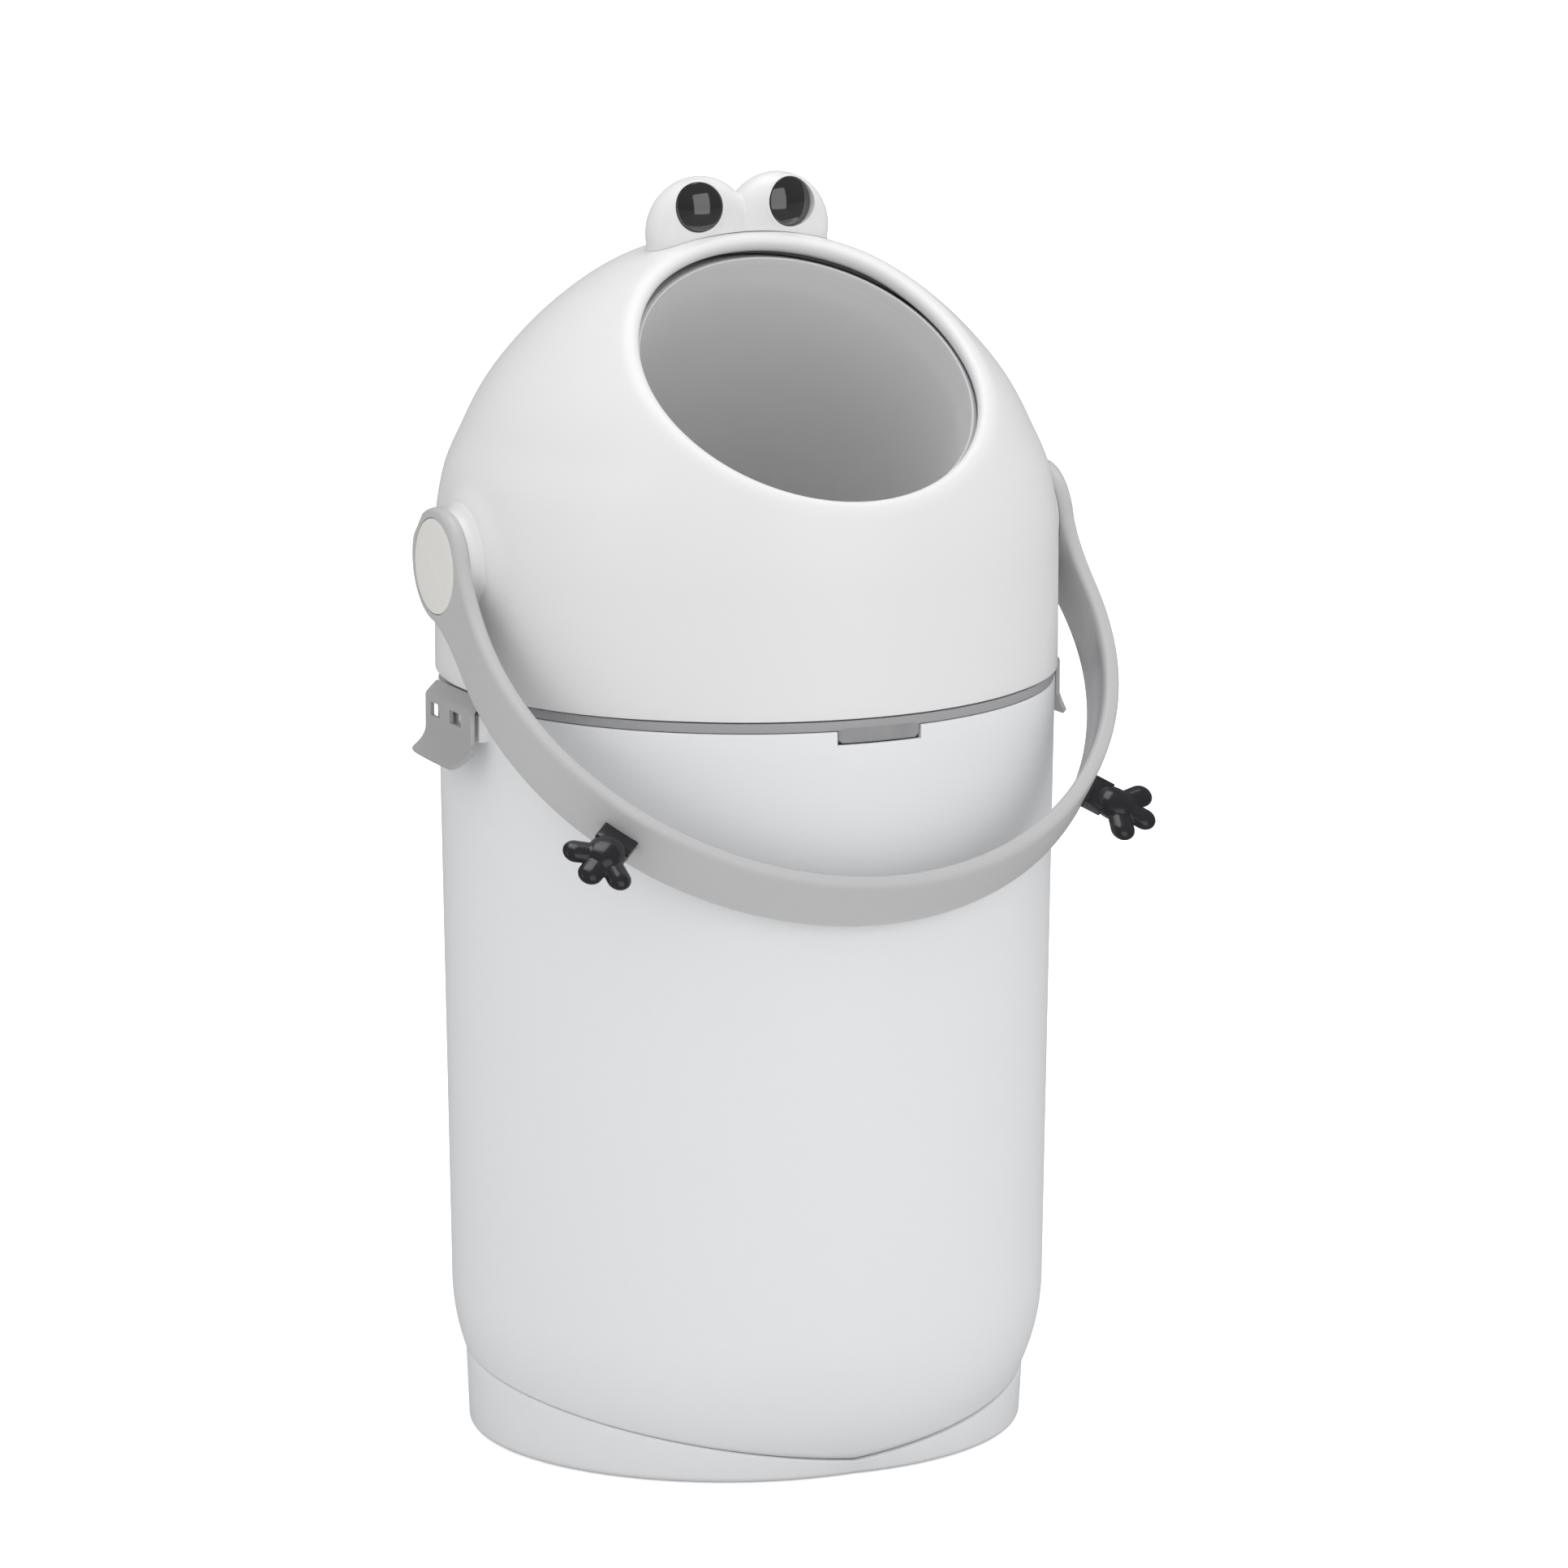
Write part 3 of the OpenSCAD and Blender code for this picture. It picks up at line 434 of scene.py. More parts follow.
def sideBox(name, side, x, y, z, radius, material, **rest):    # x, y and z are pairs, x outward
    x = sorted(side * c for c in x)
    return roundedBox(name, (x[0], y[0], z[0]), (x[1], y[1], z[1]), radius, material, **rest)


def joined(name, pieces):
    target = pieces[0]
    target.name = name
    merged = bmesh.new()
    for piece in pieces:
        merged.from_mesh(piece.data)
    merged.to_mesh(target.data)
    merged.free()
    for piece in pieces[1:]:
        bpy.data.objects.remove(piece)
    return target


# dome, with the rolled lip of its mouth
dome = sized(
    {
        "meridians": 224,
        "lipAngle": 39.2,    # degrees from the mouth's axis
        "crownFade": (22, 18),    # degrees down from the top, and over how many
        "shoulderAt": (48, 12),
        "swellFrom": (66, 10),
        "swellShare": (0.55, 0.35),    # how far round to the side it starts
    },
    wall=3, edgeRound=0.6, lipRadius=4.7,
    lipReach=8,    # how far the lip's roll runs in from the sphere
    crown=1.6,    # the crown stands a little above a true sphere
    shoulder=0.45,    # and the shoulder a little below it
    sideSwell=1.8,    # the sides stand out below the shoulder
    bossSwell=3.2,    # the wall rises softly round each hub
    bossFade=(38, -14), hubHole=15.6, holeReach=160,
    bossProfile=(    # radius, and distance from the pivot
        (18.7, 147.3), (18.7, 134), (29, 134), (29, 140.6), (27, 142.3), (25.6, 143.4),
        (24.7, 144.8), (24.3, 146.2), (24.1, 147), (23.8, 147.3)),
)


def crowned(point):    # moves a point of the plain sphere and wall to the moulded shape
    reach = point - pivot
    flat = Vector((reach.x, reach.y, 0))
    tilt = degrees(atan2(flat.length, reach.z))
    shoulderTilt, shoulderSpan = dome["shoulderAt"]
    lift = dome["crown"] * (1 - fade(tilt, *dome["crownFade"]))
    lift -= dome["shoulder"] * ease(1 - abs(tilt - shoulderTilt) / shoulderSpan)
    sideShare = abs(flat.x) / max(flat.length, 1e-6)
    sideways = fade(sideShare, *dome["swellShare"]) * fade(tilt, *dome["swellFrom"])
    nearHub = fade(hypot(reach.y, reach.z), *dome["bossFade"])
    point = point + flat.normalized() * dome["sideSwell"] * sideways
    point = point + Vector((copysign(1, reach.x), 0, 0)) * dome["bossSwell"] * nearHub
    return point + reach.normalized() * lift


def domeMeridian(psi):    # from the inner edge up, round the lip, and down the outside
    inner, edge = domeR - dome["wall"], dome["edgeRound"]
    lipThick, lipReach = dome["lipRadius"], dome["lipReach"]
    outerJoin = radians(dome["lipAngle"])
    lipBack = asin((inner - domeR + lipThick) / lipThick)
    innerJoin = outerJoin + atan2(lipReach * cos(lipBack), inner)
    across = sideAxis * cos(psi) + mouthUp * sin(psi)
    horizon = atan2(mouthAxis.z, -mouthUp.z * sin(psi))

    def direction(phi):
        return mouthAxis * cos(phi) + across * sin(phi)

    level = direction(horizon)
    level = Vector((level.x, level.y, 0)).normalized()
    lipOut = direction(outerJoin)
    lipIn = mouthAxis * sin(outerJoin) - across * cos(outerJoin)
    ground = Vector((0, 0, 0))
    path = upright(ground, level, [(inner, z) for z in np.linspace(domeEdgeZ, pivotZ, 8, endpoint=False)])
    path += [pivot + direction(phi) * inner for phi in np.linspace(horizon, innerJoin, 26, endpoint=False)]
    for turn in np.linspace(-pi - lipBack, pi / 2, 40, endpoint=False):
        outward = lipOut * (domeR - lipThick + lipThick * sin(turn))
        path.append(pivot + outward + lipIn * lipReach * cos(turn))
    path += [pivot + direction(phi) * domeR for phi in np.linspace(outerJoin, horizon, 44, endpoint=False)]
    path += upright(ground, level, [(domeR, z) for z in np.linspace(pivotZ, domeEdgeZ + edge, 12)])
    path += upright(ground, level, arc((domeR - edge, domeEdgeZ + edge), edge, 0, -90, 5)[1:])
    return [crowned(point) for point in path]


def buildDome():
    meridians = [domeMeridian(psi) for psi in evenTurn(dome["meridians"])]
    shell = gridPiece("dome", list(zip(*meridians)), whiteShell, wrapRows=True,
                      sharp=45, body="head", slot="white_plastic")
    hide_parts("dome_shell")
    through = rod(tip, dome["hubHole"], -dome["holeReach"], dome["holeReach"])
    cutAway(shell, lathe("cut", through, whiteShell, axis=sideAxis, turns=96, closed=False, capEnds=True))
    smoothShade(shell.data, 45)
    for side in (-1, 1):
        lathe("dome_boss_" + sideName(side), dome["bossProfile"], whiteShell, axis=(side, 0, 0),
              sharp=50, body="head", slot="white_plastic")


buildDome()
print("dome built")


# bin body
body = sized(
    {
        "creaseSide": 0.126,
        "creaseBack": 0.092,
        "creaseShape": ((0.25, 0.35), (0.8, 0)),    # in and up, as shares of creaseRound
        "stepHalf": 0.0006,    # half of what a step of the rim takes up, in radians
        "stepClear": 0.006,
        "columns": 240,
    },
    rimZ=348.5, rimR=140.5, lowR=136,
    roundZ=70,    # below this the wall curves in
    roundR=100, wall=2.5, rimRound=0.9, floorLow=48, floorTop=51, floorRound=8,
    floorWallZ=60,    # the floor's round meets the wall as it stands here
    innerFrom=66, centre=0.1, underReach=60,
    creaseZ=17.45,    # the seam above the foot rises to the sides and the back
    creaseRound=0.4, creaseDeep=2,
    notchHalf=20.6,    # room for the key tab
    notchZ=342.4,
    reliefHalf=28,    # room for the clips' hinges
    reliefZ=346.5,
)


def creaseHeight(x, y):
    return body["creaseZ"] + body["creaseSide"] * abs(x) + body["creaseBack"] * y


def sideRadius(z):
    if z >= body["roundZ"]:
        share = (z - body["roundZ"]) / (body["rimZ"] - body["roundZ"])
        return body["lowR"] + (body["rimR"] - body["lowR"]) * share
    drop = body["roundZ"] - z
    return body["lowR"] - body["roundR"] + sqrt(body["roundR"] ** 2 - drop ** 2)


def creaseAt(angle):    # settles on the height where the wall and the seam's plane meet
    z = body["creaseZ"]
    for _ in range(12):
        r = sideRadius(z)
        z = creaseHeight(r * cos(angle), r * sin(angle))
    return z


def bodyAngles():    # even round the bin, with a close pair at each step of the rim
    angles = evenTurn(body["columns"])
    notch = asin(body["notchHalf"] / body["rimR"])
    relief = asin(body["reliefHalf"] / body["rimR"])
    steps = []
    for middle, half in ((1.5 * pi, notch), (0, relief), (pi, relief)):
        for edge in (middle - half, middle + half):
            steps += [(edge + shift) % (2 * pi) for shift in (-body["stepHalf"], body["stepHalf"])]
    return sorted([a for a in angles if all(abs(a - s) > body["stepClear"] for s in steps)] + steps)


def rimHeight(angle):
    x, y = body["rimR"] * cos(angle), body["rimR"] * sin(angle)
    if y < 0 and abs(x) < body["notchHalf"]:
        return body["notchZ"]
    return body["reliefZ"] if abs(y) < body["reliefHalf"] else body["rimZ"]


def bodySection(angle):    # from the middle of the floor, over the rim, to the middle underneath
    wall, rim, soft, curve = body["wall"], body["rimRound"], body["creaseRound"], body["floorRound"]
    floorTop, roundZ = body["floorTop"], body["roundZ"]
    top, crease = rimHeight(angle), creaseAt(angle)
    low = sideRadius(crease)
    path = [((sideRadius(floorTop) - wall) * share, floorTop) for share in (0.001, 0.35, 0.7)]
    path += arc((sideRadius(body["floorWallZ"]) - wall - curve, floorTop + curve), curve, -90, 0, 7)
    path += [(sideRadius(z) - wall, z) for z in np.linspace(body["innerFrom"], top - rim, 14)]
    path += arc((sideRadius(top) - wall + rim, top - rim), rim, 180, 90, 5)[1:]
    path += arc((sideRadius(top) - rim, top - rim), rim, 90, 0, 5)
    path += [(sideRadius(z), z) for z in np.linspace(top - rim, roundZ, 22)[1:]]
    path += [(sideRadius(z), z) for z in np.linspace(roundZ, crease + soft, 20)[1:]]
    path += [(low - inset * soft, crease + lift * soft) for inset, lift in body["creaseShape"]]
    path += [(low - wall, crease)]
    underZ = np.linspace(crease + body["creaseDeep"], body["floorLow"], 5)
    path += [(sideRadius(z) - wall, z) for z in underZ]
    path += [(body["underReach"], body["floorLow"]), (body["centre"], body["floorLow"])]
    return upright(Vector((0, 0, 0)), Vector((cos(angle), sin(angle), 0)), path)


bodySections = [bodySection(angle) for angle in bodyAngles()]
bodyPiece = gridPiece("bin_wall", list(zip(*bodySections)), whiteBody,
                      capEnds=True, sharp=40, body="bin", slot="white_plastic")
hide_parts("bin_body")

# pads on the rim's sides, with the teeth that the clips catch on
catch = sized(
    padX=(133.4, 143.2), padY=(-23.5, 23.5), padZ=(333, 345.4), padEdge=0.6, toothX=(141, 144.3),
    toothY=(-6.8, 16), toothHalf=3.4, toothZ=(339.7, 343.1), toothEdge=0.45,
)
for side in (-1, 1):
    sideBox("catch_pad_" + sideName(side), side, catch["padX"], catch["padY"], catch["padZ"],
            catch["padEdge"], whiteBody, body="bin", slot="white_plastic")
    for y in catch["toothY"]:
        across = (y - catch["toothHalf"], y + catch["toothHalf"])
        sideBox("catch_tooth_%s_%s" % (sideName(side), endName(y)), side, catch["toothX"], across,
                catch["toothZ"], catch["toothEdge"], whiteBody, body="bin", slot="white_plastic")
print("bin body built")


# foot, two round lobes side by side
foot = sized(
    {"columns": 240},
    lobeR=120, lobeX=9.4, lobeY=3,
    gap=0.15,    # between the foot and the bin above it
    edge=3, draft=1.4, topEdge=0.3, lip=5, lipDrop=0.1, sole=3, centre=0.1,
)


def footReach(angle):
    c, s = abs(cos(angle)), sin(angle)
    return foot["lobeX"] * c + sqrt(foot["lobeR"] ** 2 - (foot["lobeX"] * s) ** 2)


def footSection(angle):    # from the middle underneath, up the outside, to the middle of the sole
    out, centre = Vector((cos(angle), sin(angle), 0)), Vector((0, foot["lobeY"], 0))
    reach, edge, soft = footReach(angle), foot["edge"], foot["topEdge"]
    wallPoint = centre + out * reach
    top = creaseHeight(wallPoint.x, wallPoint.y) - foot["gap"]
    lowReach, inside = reach - foot["draft"], reach - foot["lip"]
    path = [(reach * share, 0) for share in (0.001, 0.5, 0.9)] + arc((lowReach - edge, edge), edge, -90, 0, 7)
    for z in np.linspace(edge, top - soft, 6)[1:]:
        path.append((lowReach + foot["draft"] * ((z - edge) / (top - soft - edge)), z))
    path += arc((reach - soft, top - soft), soft, 30, 90, 3)
    path += [(inside, top - foot["lipDrop"]), (inside, foot["sole"]), (foot["centre"], foot["sole"])]
    return upright(centre, out, path)


footSections = [footSection(angle) for angle in evenTurn(foot["columns"])]
footPiece = gridPiece("foot", list(zip(*footSections)), whiteBody,
                      capEnds=True, sharp=42, body="bin", slot="white_plastic")
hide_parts("base_foot")
print("foot built")


# grey band between body and dome, with the key tab at the front and the hinges of the clips
band = sized(
    {"cornerSpan": 0.012},    # radians along the tab
    outR=140, low=348.8, high=353.1, edge=0.5,
    upstand=(134.9, 136.7, 4),    # inner and outer radius, and height
    web=(118, 3),    # inner radius and thickness
    plug=(134.4, 136.9, 12),    # inner and outer radius, and depth
    groove=(135.7, 5.8, 8.8),    # radius, and from and to below the band
    tabHalf=20, tabLow=343, tabWall=2.5, tabEdge=0.5, tabOverlap=1, cornerTall=1.4,
    lugX=(137, 142.8), lugY=(8, 14), lugZ=(349, 351.3), lugEdge=0.4,
    eye=(1.05, 1.9, 0.3),    # bore, outer radius and edge
)


def buildBand():
    out, low, high, edge = band["outR"], band["low"], band["high"], band["edge"]
    upIn, upOut, upTall = band["upstand"]
    webR, webThick = band["web"]
    plugIn, plugOut, plugDeep = band["plug"]
    grooveR, grooveTop, grooveLow = band["groove"]
    profile = arc((out - edge, low + edge), edge, -90, 0, 5) + arc((out - edge, high - edge), edge, 0, 90, 5)
    profile += [(upOut, high), (upOut, high + upTall), (upIn, high + upTall), (upIn, high)]
    profile += [(webR, high), (webR, high - webThick), (plugIn, high - webThick), (plugIn, low - plugDeep)]
    profile += [(plugOut, low - plugDeep), (plugOut, low - grooveLow), (grooveR, low - grooveLow)]
    profile += [(grooveR, low - grooveTop), (plugOut, low - grooveTop), (plugOut, low)]
    ring = lathe("head_band", profile, ringGrey, origin=(0, 0, 0), turns=256,
                 sharp=40, body="head", slot="mid_grey_plastic")
    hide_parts("head_ring")


def buildTab():
    out, edge, top = band["outR"], band["tabEdge"], band["low"] + band["tabOverlap"]
    half = asin(band["tabHalf"] / out)
    span = band["cornerSpan"]
    rows = []
    for angle in np.linspace(-half, half, 21):
        shrink = edge if abs(abs(angle) - half) < 1e-6 else 0
        low = band["tabLow"] + band["cornerTall"] * (max(0.0, abs(angle) - (half - span)) / span) ** 2
        section = [(out - shrink, low + edge), (out - shrink, top), (out - band["tabWall"], top),
                   (out - band["tabWall"], low), (out - edge - shrink, low)]
        rows.append([Vector((r * sin(angle), -r * cos(angle), z)) for r, z in section])
    # the tab takes the darker grey, which is painted shade
    gridPiece("key_tab", rows, shadedTabGrey, capEnds=True, sharp=40, body="head", slot="mid_grey_plastic")


def buildHinge(side, way):
    label = "%s_%s" % (sideName(side), endName(way))
    along = sorted(way * y for y in band["lugY"])
    bore, outer, edge = band["eye"]
    sideBox("hinge_lug_" + label, side, band["lugX"], along, band["lugZ"], band["lugEdge"], ringGrey,
            body="head", slot="mid_grey_plastic")
    lathe("hinge_eye_" + label, tube(bore, outer, along[0], along[1], edge), ringGrey,
          origin=(side * clipHingeX, 0, clipHingeZ), axis=(0, 1, 0), turns=32,
          body="head", slot="mid_grey_plastic")


buildBand()
buildTab()
for side in (-1, 1):
    for way in (-1, 1):
        buildHinge(side, way)
print("band built")


# handle, one swept strap with a hub at each end
handle = sized(
    {
        "drop": radians(42),    # from level down to the hoop
        "flarePull": 0.55,
        "widening": 1.3,    # how soon the hoop reaches its full width
        "channelFrom": (0.05, 0.2),
        "backPull": 0.3,
    },
    hoopReach=53.6,    # from the hubs to the middle of the hoop's bend
    midR=151.4, strapHalf=15.4, neckHalf=14.4, neckMid=151, thick=7, corner=2.4, hubR=26.5, hubIn=147.5,
    hubOut=154.5, hubEdge=3.3,
    roundEnd=16,    # the hub's circle turns into the neck here
    flareEnd=50, blendFrom=(18, 24), midFrom=(20, 33), crown=0.25,
    channel=1.0,    # a shallow channel inside the hoop
    tipHalf=0.4,
)
downHandle = Vector((0, -cos(handle["drop"]), -sin(handle["drop"])))
acrossHandle = Vector((0, -sin(handle["drop"]), cos(handle["drop"])))


def handlePlace(x, u, v):
    return pivot + sideAxis * x + downHandle * u + acrossHandle * v


def hoopDirections(theta):    # outward and along the strap, theta from the hoop's middle
    outward = sideAxis * sin(theta) + downHandle * cos(theta)
    return outward, sideAxis * cos(theta) - downHandle * sin(theta)


def neckHalfWidth(u):    # the hub's circle, then a smooth run down to the neck's width
    hubR, start = handle["hubR"], handle["roundEnd"]
    if u <= start:
        return sqrt(max(hubR ** 2 - u ** 2, 0))
    startHalf = sqrt(hubR ** 2 - start ** 2)
    span = handle["flareEnd"] - start
    s = min(1.0, (u - start) / span)
    half = (2 * s ** 3 - 3 * s ** 2 + 1) * startHalf
    half += (s ** 3 - 2 * s ** 2 + s) * (-start / startHalf) * span * handle["flarePull"]
    return half + (-2 * s ** 3 + 3 * s ** 2) * handle["neckHalf"]


def strapSection(half, faceIn, faceOut, corner, crown, channel):    # points as (outward, across)
    r = min(corner, half * 0.95, (faceOut - faceIn) * 0.48)    # never rounder than the section is thick
    dips = ((0.62, 0), (0.52, channel), (0, channel), (-0.52, channel), (-0.62, 0))
    points = arc((faceOut - r, half - r), r, 0, 90, 6) + arc((faceIn + r, half - r), r, 90, 180, 6)
    points += [(faceIn + dip, share * half) for share, dip in dips]
    points += arc((faceIn + r, -half + r), r, 180, 270, 6) + arc((faceOut - r, -half + r), r, 270, 360, 6)
    points += [(faceOut + crown * (1 - share ** 2), share * half) for share in (-0.75, -0.4, 0, 0.4, 0.75)]
    return points


def hoopRow(theta):
    outward, along = hoopDirections(theta)
    widened = ease(cos(theta) * handle["widening"])
    half = handle["neckHalf"] + (handle["strapHalf"] - handle["neckHalf"]) * widened
    faceIn, faceOut = handle["midR"] - handle["thick"] / 2, handle["midR"] + handle["thick"] / 2
    channel = handle["channel"] * fade(cos(theta), *handle["channelFrom"])
    centre = handlePlace(0, handle["hoopReach"], 0)
    section = strapSection(half, faceIn, faceOut, handle["corner"], handle["crown"], channel)
    return [centre + outward * w + acrossHandle * v for w, v in section]


def hubRow(side, u):
    edge, hubIn, hubOut, thick = handle["hubEdge"], handle["hubIn"], handle["hubOut"], handle["thick"]
    half = max(neckHalfWidth(u), handle["tipHalf"])
    blend = fade(u, *handle["blendFrom"])
    mid = handle["neckMid"] + (handle["midR"] - handle["neckMid"]) * fade(u, *handle["midFrom"])
    corner = edge + (handle["corner"] - edge) * blend
    faceIn = hubIn + (mid - thick / 2 - hubIn) * blend
    faceOut = hubOut + (mid + thick / 2 - hubOut) * blend
    rim = max(0.0, (-u - (handle["hubR"] - edge)) / edge)
    pull = edge * (1 - sqrt(max(0.0, 1 - rim ** 2)))    # rounds the hub's far rim
    section = strapSection(half, faceIn + pull * handle["backPull"], faceOut - pull, corner, 0, 0)
    return [handlePlace(side * w, u, v) for w, v in section]


def buildStrap():
    hubR = handle["hubR"]
    reaches = list(-hubR + hubR * (1 - np.cos(np.linspace(0.06, pi / 2, 16))))
    reaches += list(np.linspace(0, handle["hoopReach"], 26)[1:-1])
    rows = [hubRow(1, u) for u in reaches]
    rows += [hoopRow(radians(t)) for t in np.linspace(90, -90, 97)]
    rows += [hubRow(-1, u) for u in reversed(reaches)]
    piece = gridPiece("strap", rows, handleGrey, capEnds=True,
                      sharp=50, body="drum", slot="light_grey_plastic")
    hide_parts("handle_strap")
    return piece


# discs let into the hubs
cap = sized(
    radius=21.7, seat=151.5, recessR=22, recessOut=165,
    stand=0.15,    # the disc stands this far out of the hub
    crown=((0.05, 0.25), (8, 0.2), (15, 0.1)), edge=0.6, core=0.05, gap=0.1,
)


def buildCap(side):
    recess = rod(cap["core"], cap["recessR"], cap["seat"], cap["recessOut"])
    cutAway(strap, lathe("recess", recess, handleGrey, axis=(side, 0, 0)))
    out, low, edge = handle["hubOut"] + cap["stand"], cap["seat"] + cap["gap"], cap["edge"]
    profile = [(r, out + rise) for r, rise in cap["crown"]]
    profile += arc((cap["radius"] - edge, out - edge), edge, 90, 0, 5)
    profile += [(cap["radius"], low), (cap["core"], low)]
    disc = lathe("hub_cap_" + sideName(side) + "_disc", profile, capGrey, axis=(side, 0, 0),
                 sharp=40, body="drum", slot="warm_grey_plastic")
    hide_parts("hub_cap_" + sideName(side))


strap = buildStrap()
for side in (-1, 1):
    buildCap(side)
smoothShade(strap.data, 50)
print("handle built")


# hands on the handle's hoop
hand = sized(
    {
        "turn": radians(48.4),    # from the hoop's middle round to each hand
        "fingerRoot": 0.92,
        "fingerSpread": 56,
        "meltRounds": 8,
        "puff": 0.56,    # the hand is flattened to this share
    },
    reach=33.6, fingerR=5.75, palmR=8.9, palmAt=14, palmBack=2, palmFront=1, voxel=0.38,
    flatAt=3.5,    # the hand ends flat here, inside the cuff
    cuffHalf=8.7, cuffLow=-0.4, cuffTall=9.4, cuffThick=5.6, cuffEdge=0.7,
)


def handMatrix(side):    # x along the strap, y out of it
    outward, along = hoopDirections(side * hand["turn"])
    origin = handlePlace(0, handle["hoopReach"], 0) + outward * (handle["midR"] + handle["thick"] / 2)
    basis = Matrix((along, outward, along.cross(outward))).transposed()
    return Matrix.Translation(origin) @ basis.to_4x4()


def capsule(name, start, end, startR, endR, rounds=20):
    axis = (end - start).normalized()
    up = Vector((0, 0, 1))
    cross = axis.cross(up).normalized()
    rings = [(start + axis * along, r) for r, along in arc((0, 0), startR, -88, 0, 8)]
    rings += [(end + axis * along, r) for r, along in arc((0, 0), endR, 0, 88, 8)]
    spokes = [cross * cos(t) + up * sin(t) for t in evenTurn(rounds)]
    rows = [[centre + spoke * r for spoke in spokes] for centre, r in rings]
    return gridPiece(name, rows, handGloss, capEnds=True)


def buildHand(side):
    label = sideName(side)
    tipR = hand["fingerR"]
    rootR = tipR * hand["fingerRoot"]
    palm = Vector((0, hand["palmAt"], 0))
    length = hand["reach"] - hand["palmAt"] - tipR
    parts = []
    for spread in (-hand["fingerSpread"], 0, hand["fingerSpread"]):
        direction = Vector((sin(radians(spread)), cos(radians(spread)), 0))
        parts.append(capsule("finger", palm, palm + direction * length, rootR, tipR))
    palmLow, palmHigh = palm - Vector((0, hand["palmBack"], 0)), palm + Vector((0, hand["palmFront"], 0))
    parts.append(capsule("palm", palmLow, palmHigh, hand["palmR"], hand["palmR"], 32))
    soft = joined("hand_" + label + "_moulding", parts)
    meltTogether(soft, hand["voxel"], hand["meltRounds"])
    for vertex in soft.data.vertices:
        vertex.co.z *= hand["puff"]
        vertex.co.y = max(vertex.co.y, hand["flatAt"])
    cuffHalf, cuffDeep = hand["cuffHalf"], hand["cuffThick"] / 2
    cuff = roundedBox("cuff", (-cuffHalf, hand["cuffLow"], -cuffDeep), (cuffHalf, hand["cuffTall"], cuffDeep),
                      hand["cuffEdge"], handGloss)
    whole = joined("hand_" + label + "_moulding", [soft, cuff])
    whole.data.transform(handMatrix(side))
    smoothShade(whole.data, 40)
    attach(whole, "drum")
    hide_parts("hand_" + label)


for side in (-1, 1):
    buildHand(side)
print("hands built")


# eye pod, two bulbs melted together on the dome, and its lenses
eyes = sized(
    {"skirtRound": 0.9, "turnOut": 10, "turnUp": 6, "meltRounds": 22},
    bulbR=25.2, bulbX=19.3, bulbY=9.91,
    rise=141.55,    # from the pivot to the bulbs' middles
    depth=9.8, edge=9.0, voxel=0.55, domeCut=141.7, lensX=22.8, lensRise=12.2, lensBack=1.66, lensR=11.3,
    bulge=2.9, lensSink=0.5, lensEdge=0.4,
    lensRim=((0.12, 0.25), (0, 0.7)),    # in and down from the edge of the lens's dome
    seatRim=1.3, seat=(-7, -0.1), recessGap=0.15, recess=(-1.2, 12),
    lensBase=-1.15, core=0.05,
)


def lensFrame(side):    # the lens's middle, and the way that it faces
    depth, centreZ = eyes["bulbY"] - eyes["depth"], pivotZ + eyes["rise"]
    spot = Vector((side * eyes["lensX"], depth + eyes["lensBack"], centreZ + eyes["lensRise"]))
    turn = Matrix.Rotation(radians(side * eyes["turnOut"]), 3, "Z")
    turn = turn @ Matrix.Rotation(radians(90 - eyes["turnUp"]), 3, "X")
    return spot, turn @ Vector((0, 0, 1))


def bulbParts(side):
    r, d, e, core = eyes["bulbR"], eyes["depth"], eyes["edge"], eyes["core"]
    x, y, z = side * eyes["bulbX"], eyes["bulbY"], pivotZ + eyes["rise"]
    ends = arc((r - e, -d + e), e, -90, 0, 9) + arc((r - e, d - e), e, 0, 90, 9)
    profile = [(core, -d)] + ends + [(core, d)]
    spot, facing = lensFrame(side)
    seat = rod(core, eyes["lensR"] + eyes["seatRim"], eyes["seat"][0], eyes["seat"][1])
    return [
        lathe("bulb", profile, podShell, origin=(x, y, z), axis=(0, 1, 0), turns=96, closed=False),
        roundedBox("skirt", (x - r, y - d, z - r), (x + r, y + d, z), e * eyes["skirtRound"], podShell),
        lathe("seat", seat, podShell, origin=spot, axis=facing, turns=96, closed=False),
    ]


def buildPod():
    pod = joined("eye_pod_moulding", bulbParts(-1) + bulbParts(1))
    meltTogether(pod, eyes["voxel"], eyes["meltRounds"])
    r = eyes["domeCut"]
    ball = [(tip, -r)] + arc((0, 0), r, -89.8, 89.8, 120) + [(tip, r)]
    cutAway(pod, lathe("cut", ball, podShell, turns=180, closed=False))
    recess = rod(eyes["core"], eyes["lensR"] + eyes["recessGap"], eyes["recess"][0], eyes["recess"][1])
    for side in (-1, 1):
        spot, facing = lensFrame(side)
        cutAway(pod, lathe("cut", recess, podShell, origin=spot, axis=facing, turns=96, closed=False))
    smoothShade(pod.data, 42)
    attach(pod, "head")
    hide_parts("eye_pod")


def buildLens(side):
    spot, facing = lensFrame(side)
    r, bulge, base = eyes["lensR"], eyes["bulge"], eyes["lensBase"]
    ball = (r * r + bulge * bulge) / (2 * bulge)
    half = degrees(asin((r - eyes["lensEdge"]) / ball))
    profile = arc((0, bulge - eyes["lensSink"] - ball), ball, 89.9, 90 - half, 24)
    rim = profile[-1][1]
    profile += [(r - inset, rim - drop) for inset, drop in eyes["lensRim"]] + [(r, base), (tip, base)]
    lens = lathe("lens_" + sideName(side), profile, blackGloss, origin=spot, axis=facing, turns=96,
                 sharp=50, body="head", slot="black_gloss_plastic")
    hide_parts("eye_lens_" + sideName(side))


buildPod()
for side in (-1, 1):
    buildLens(side)
print("eyes built")


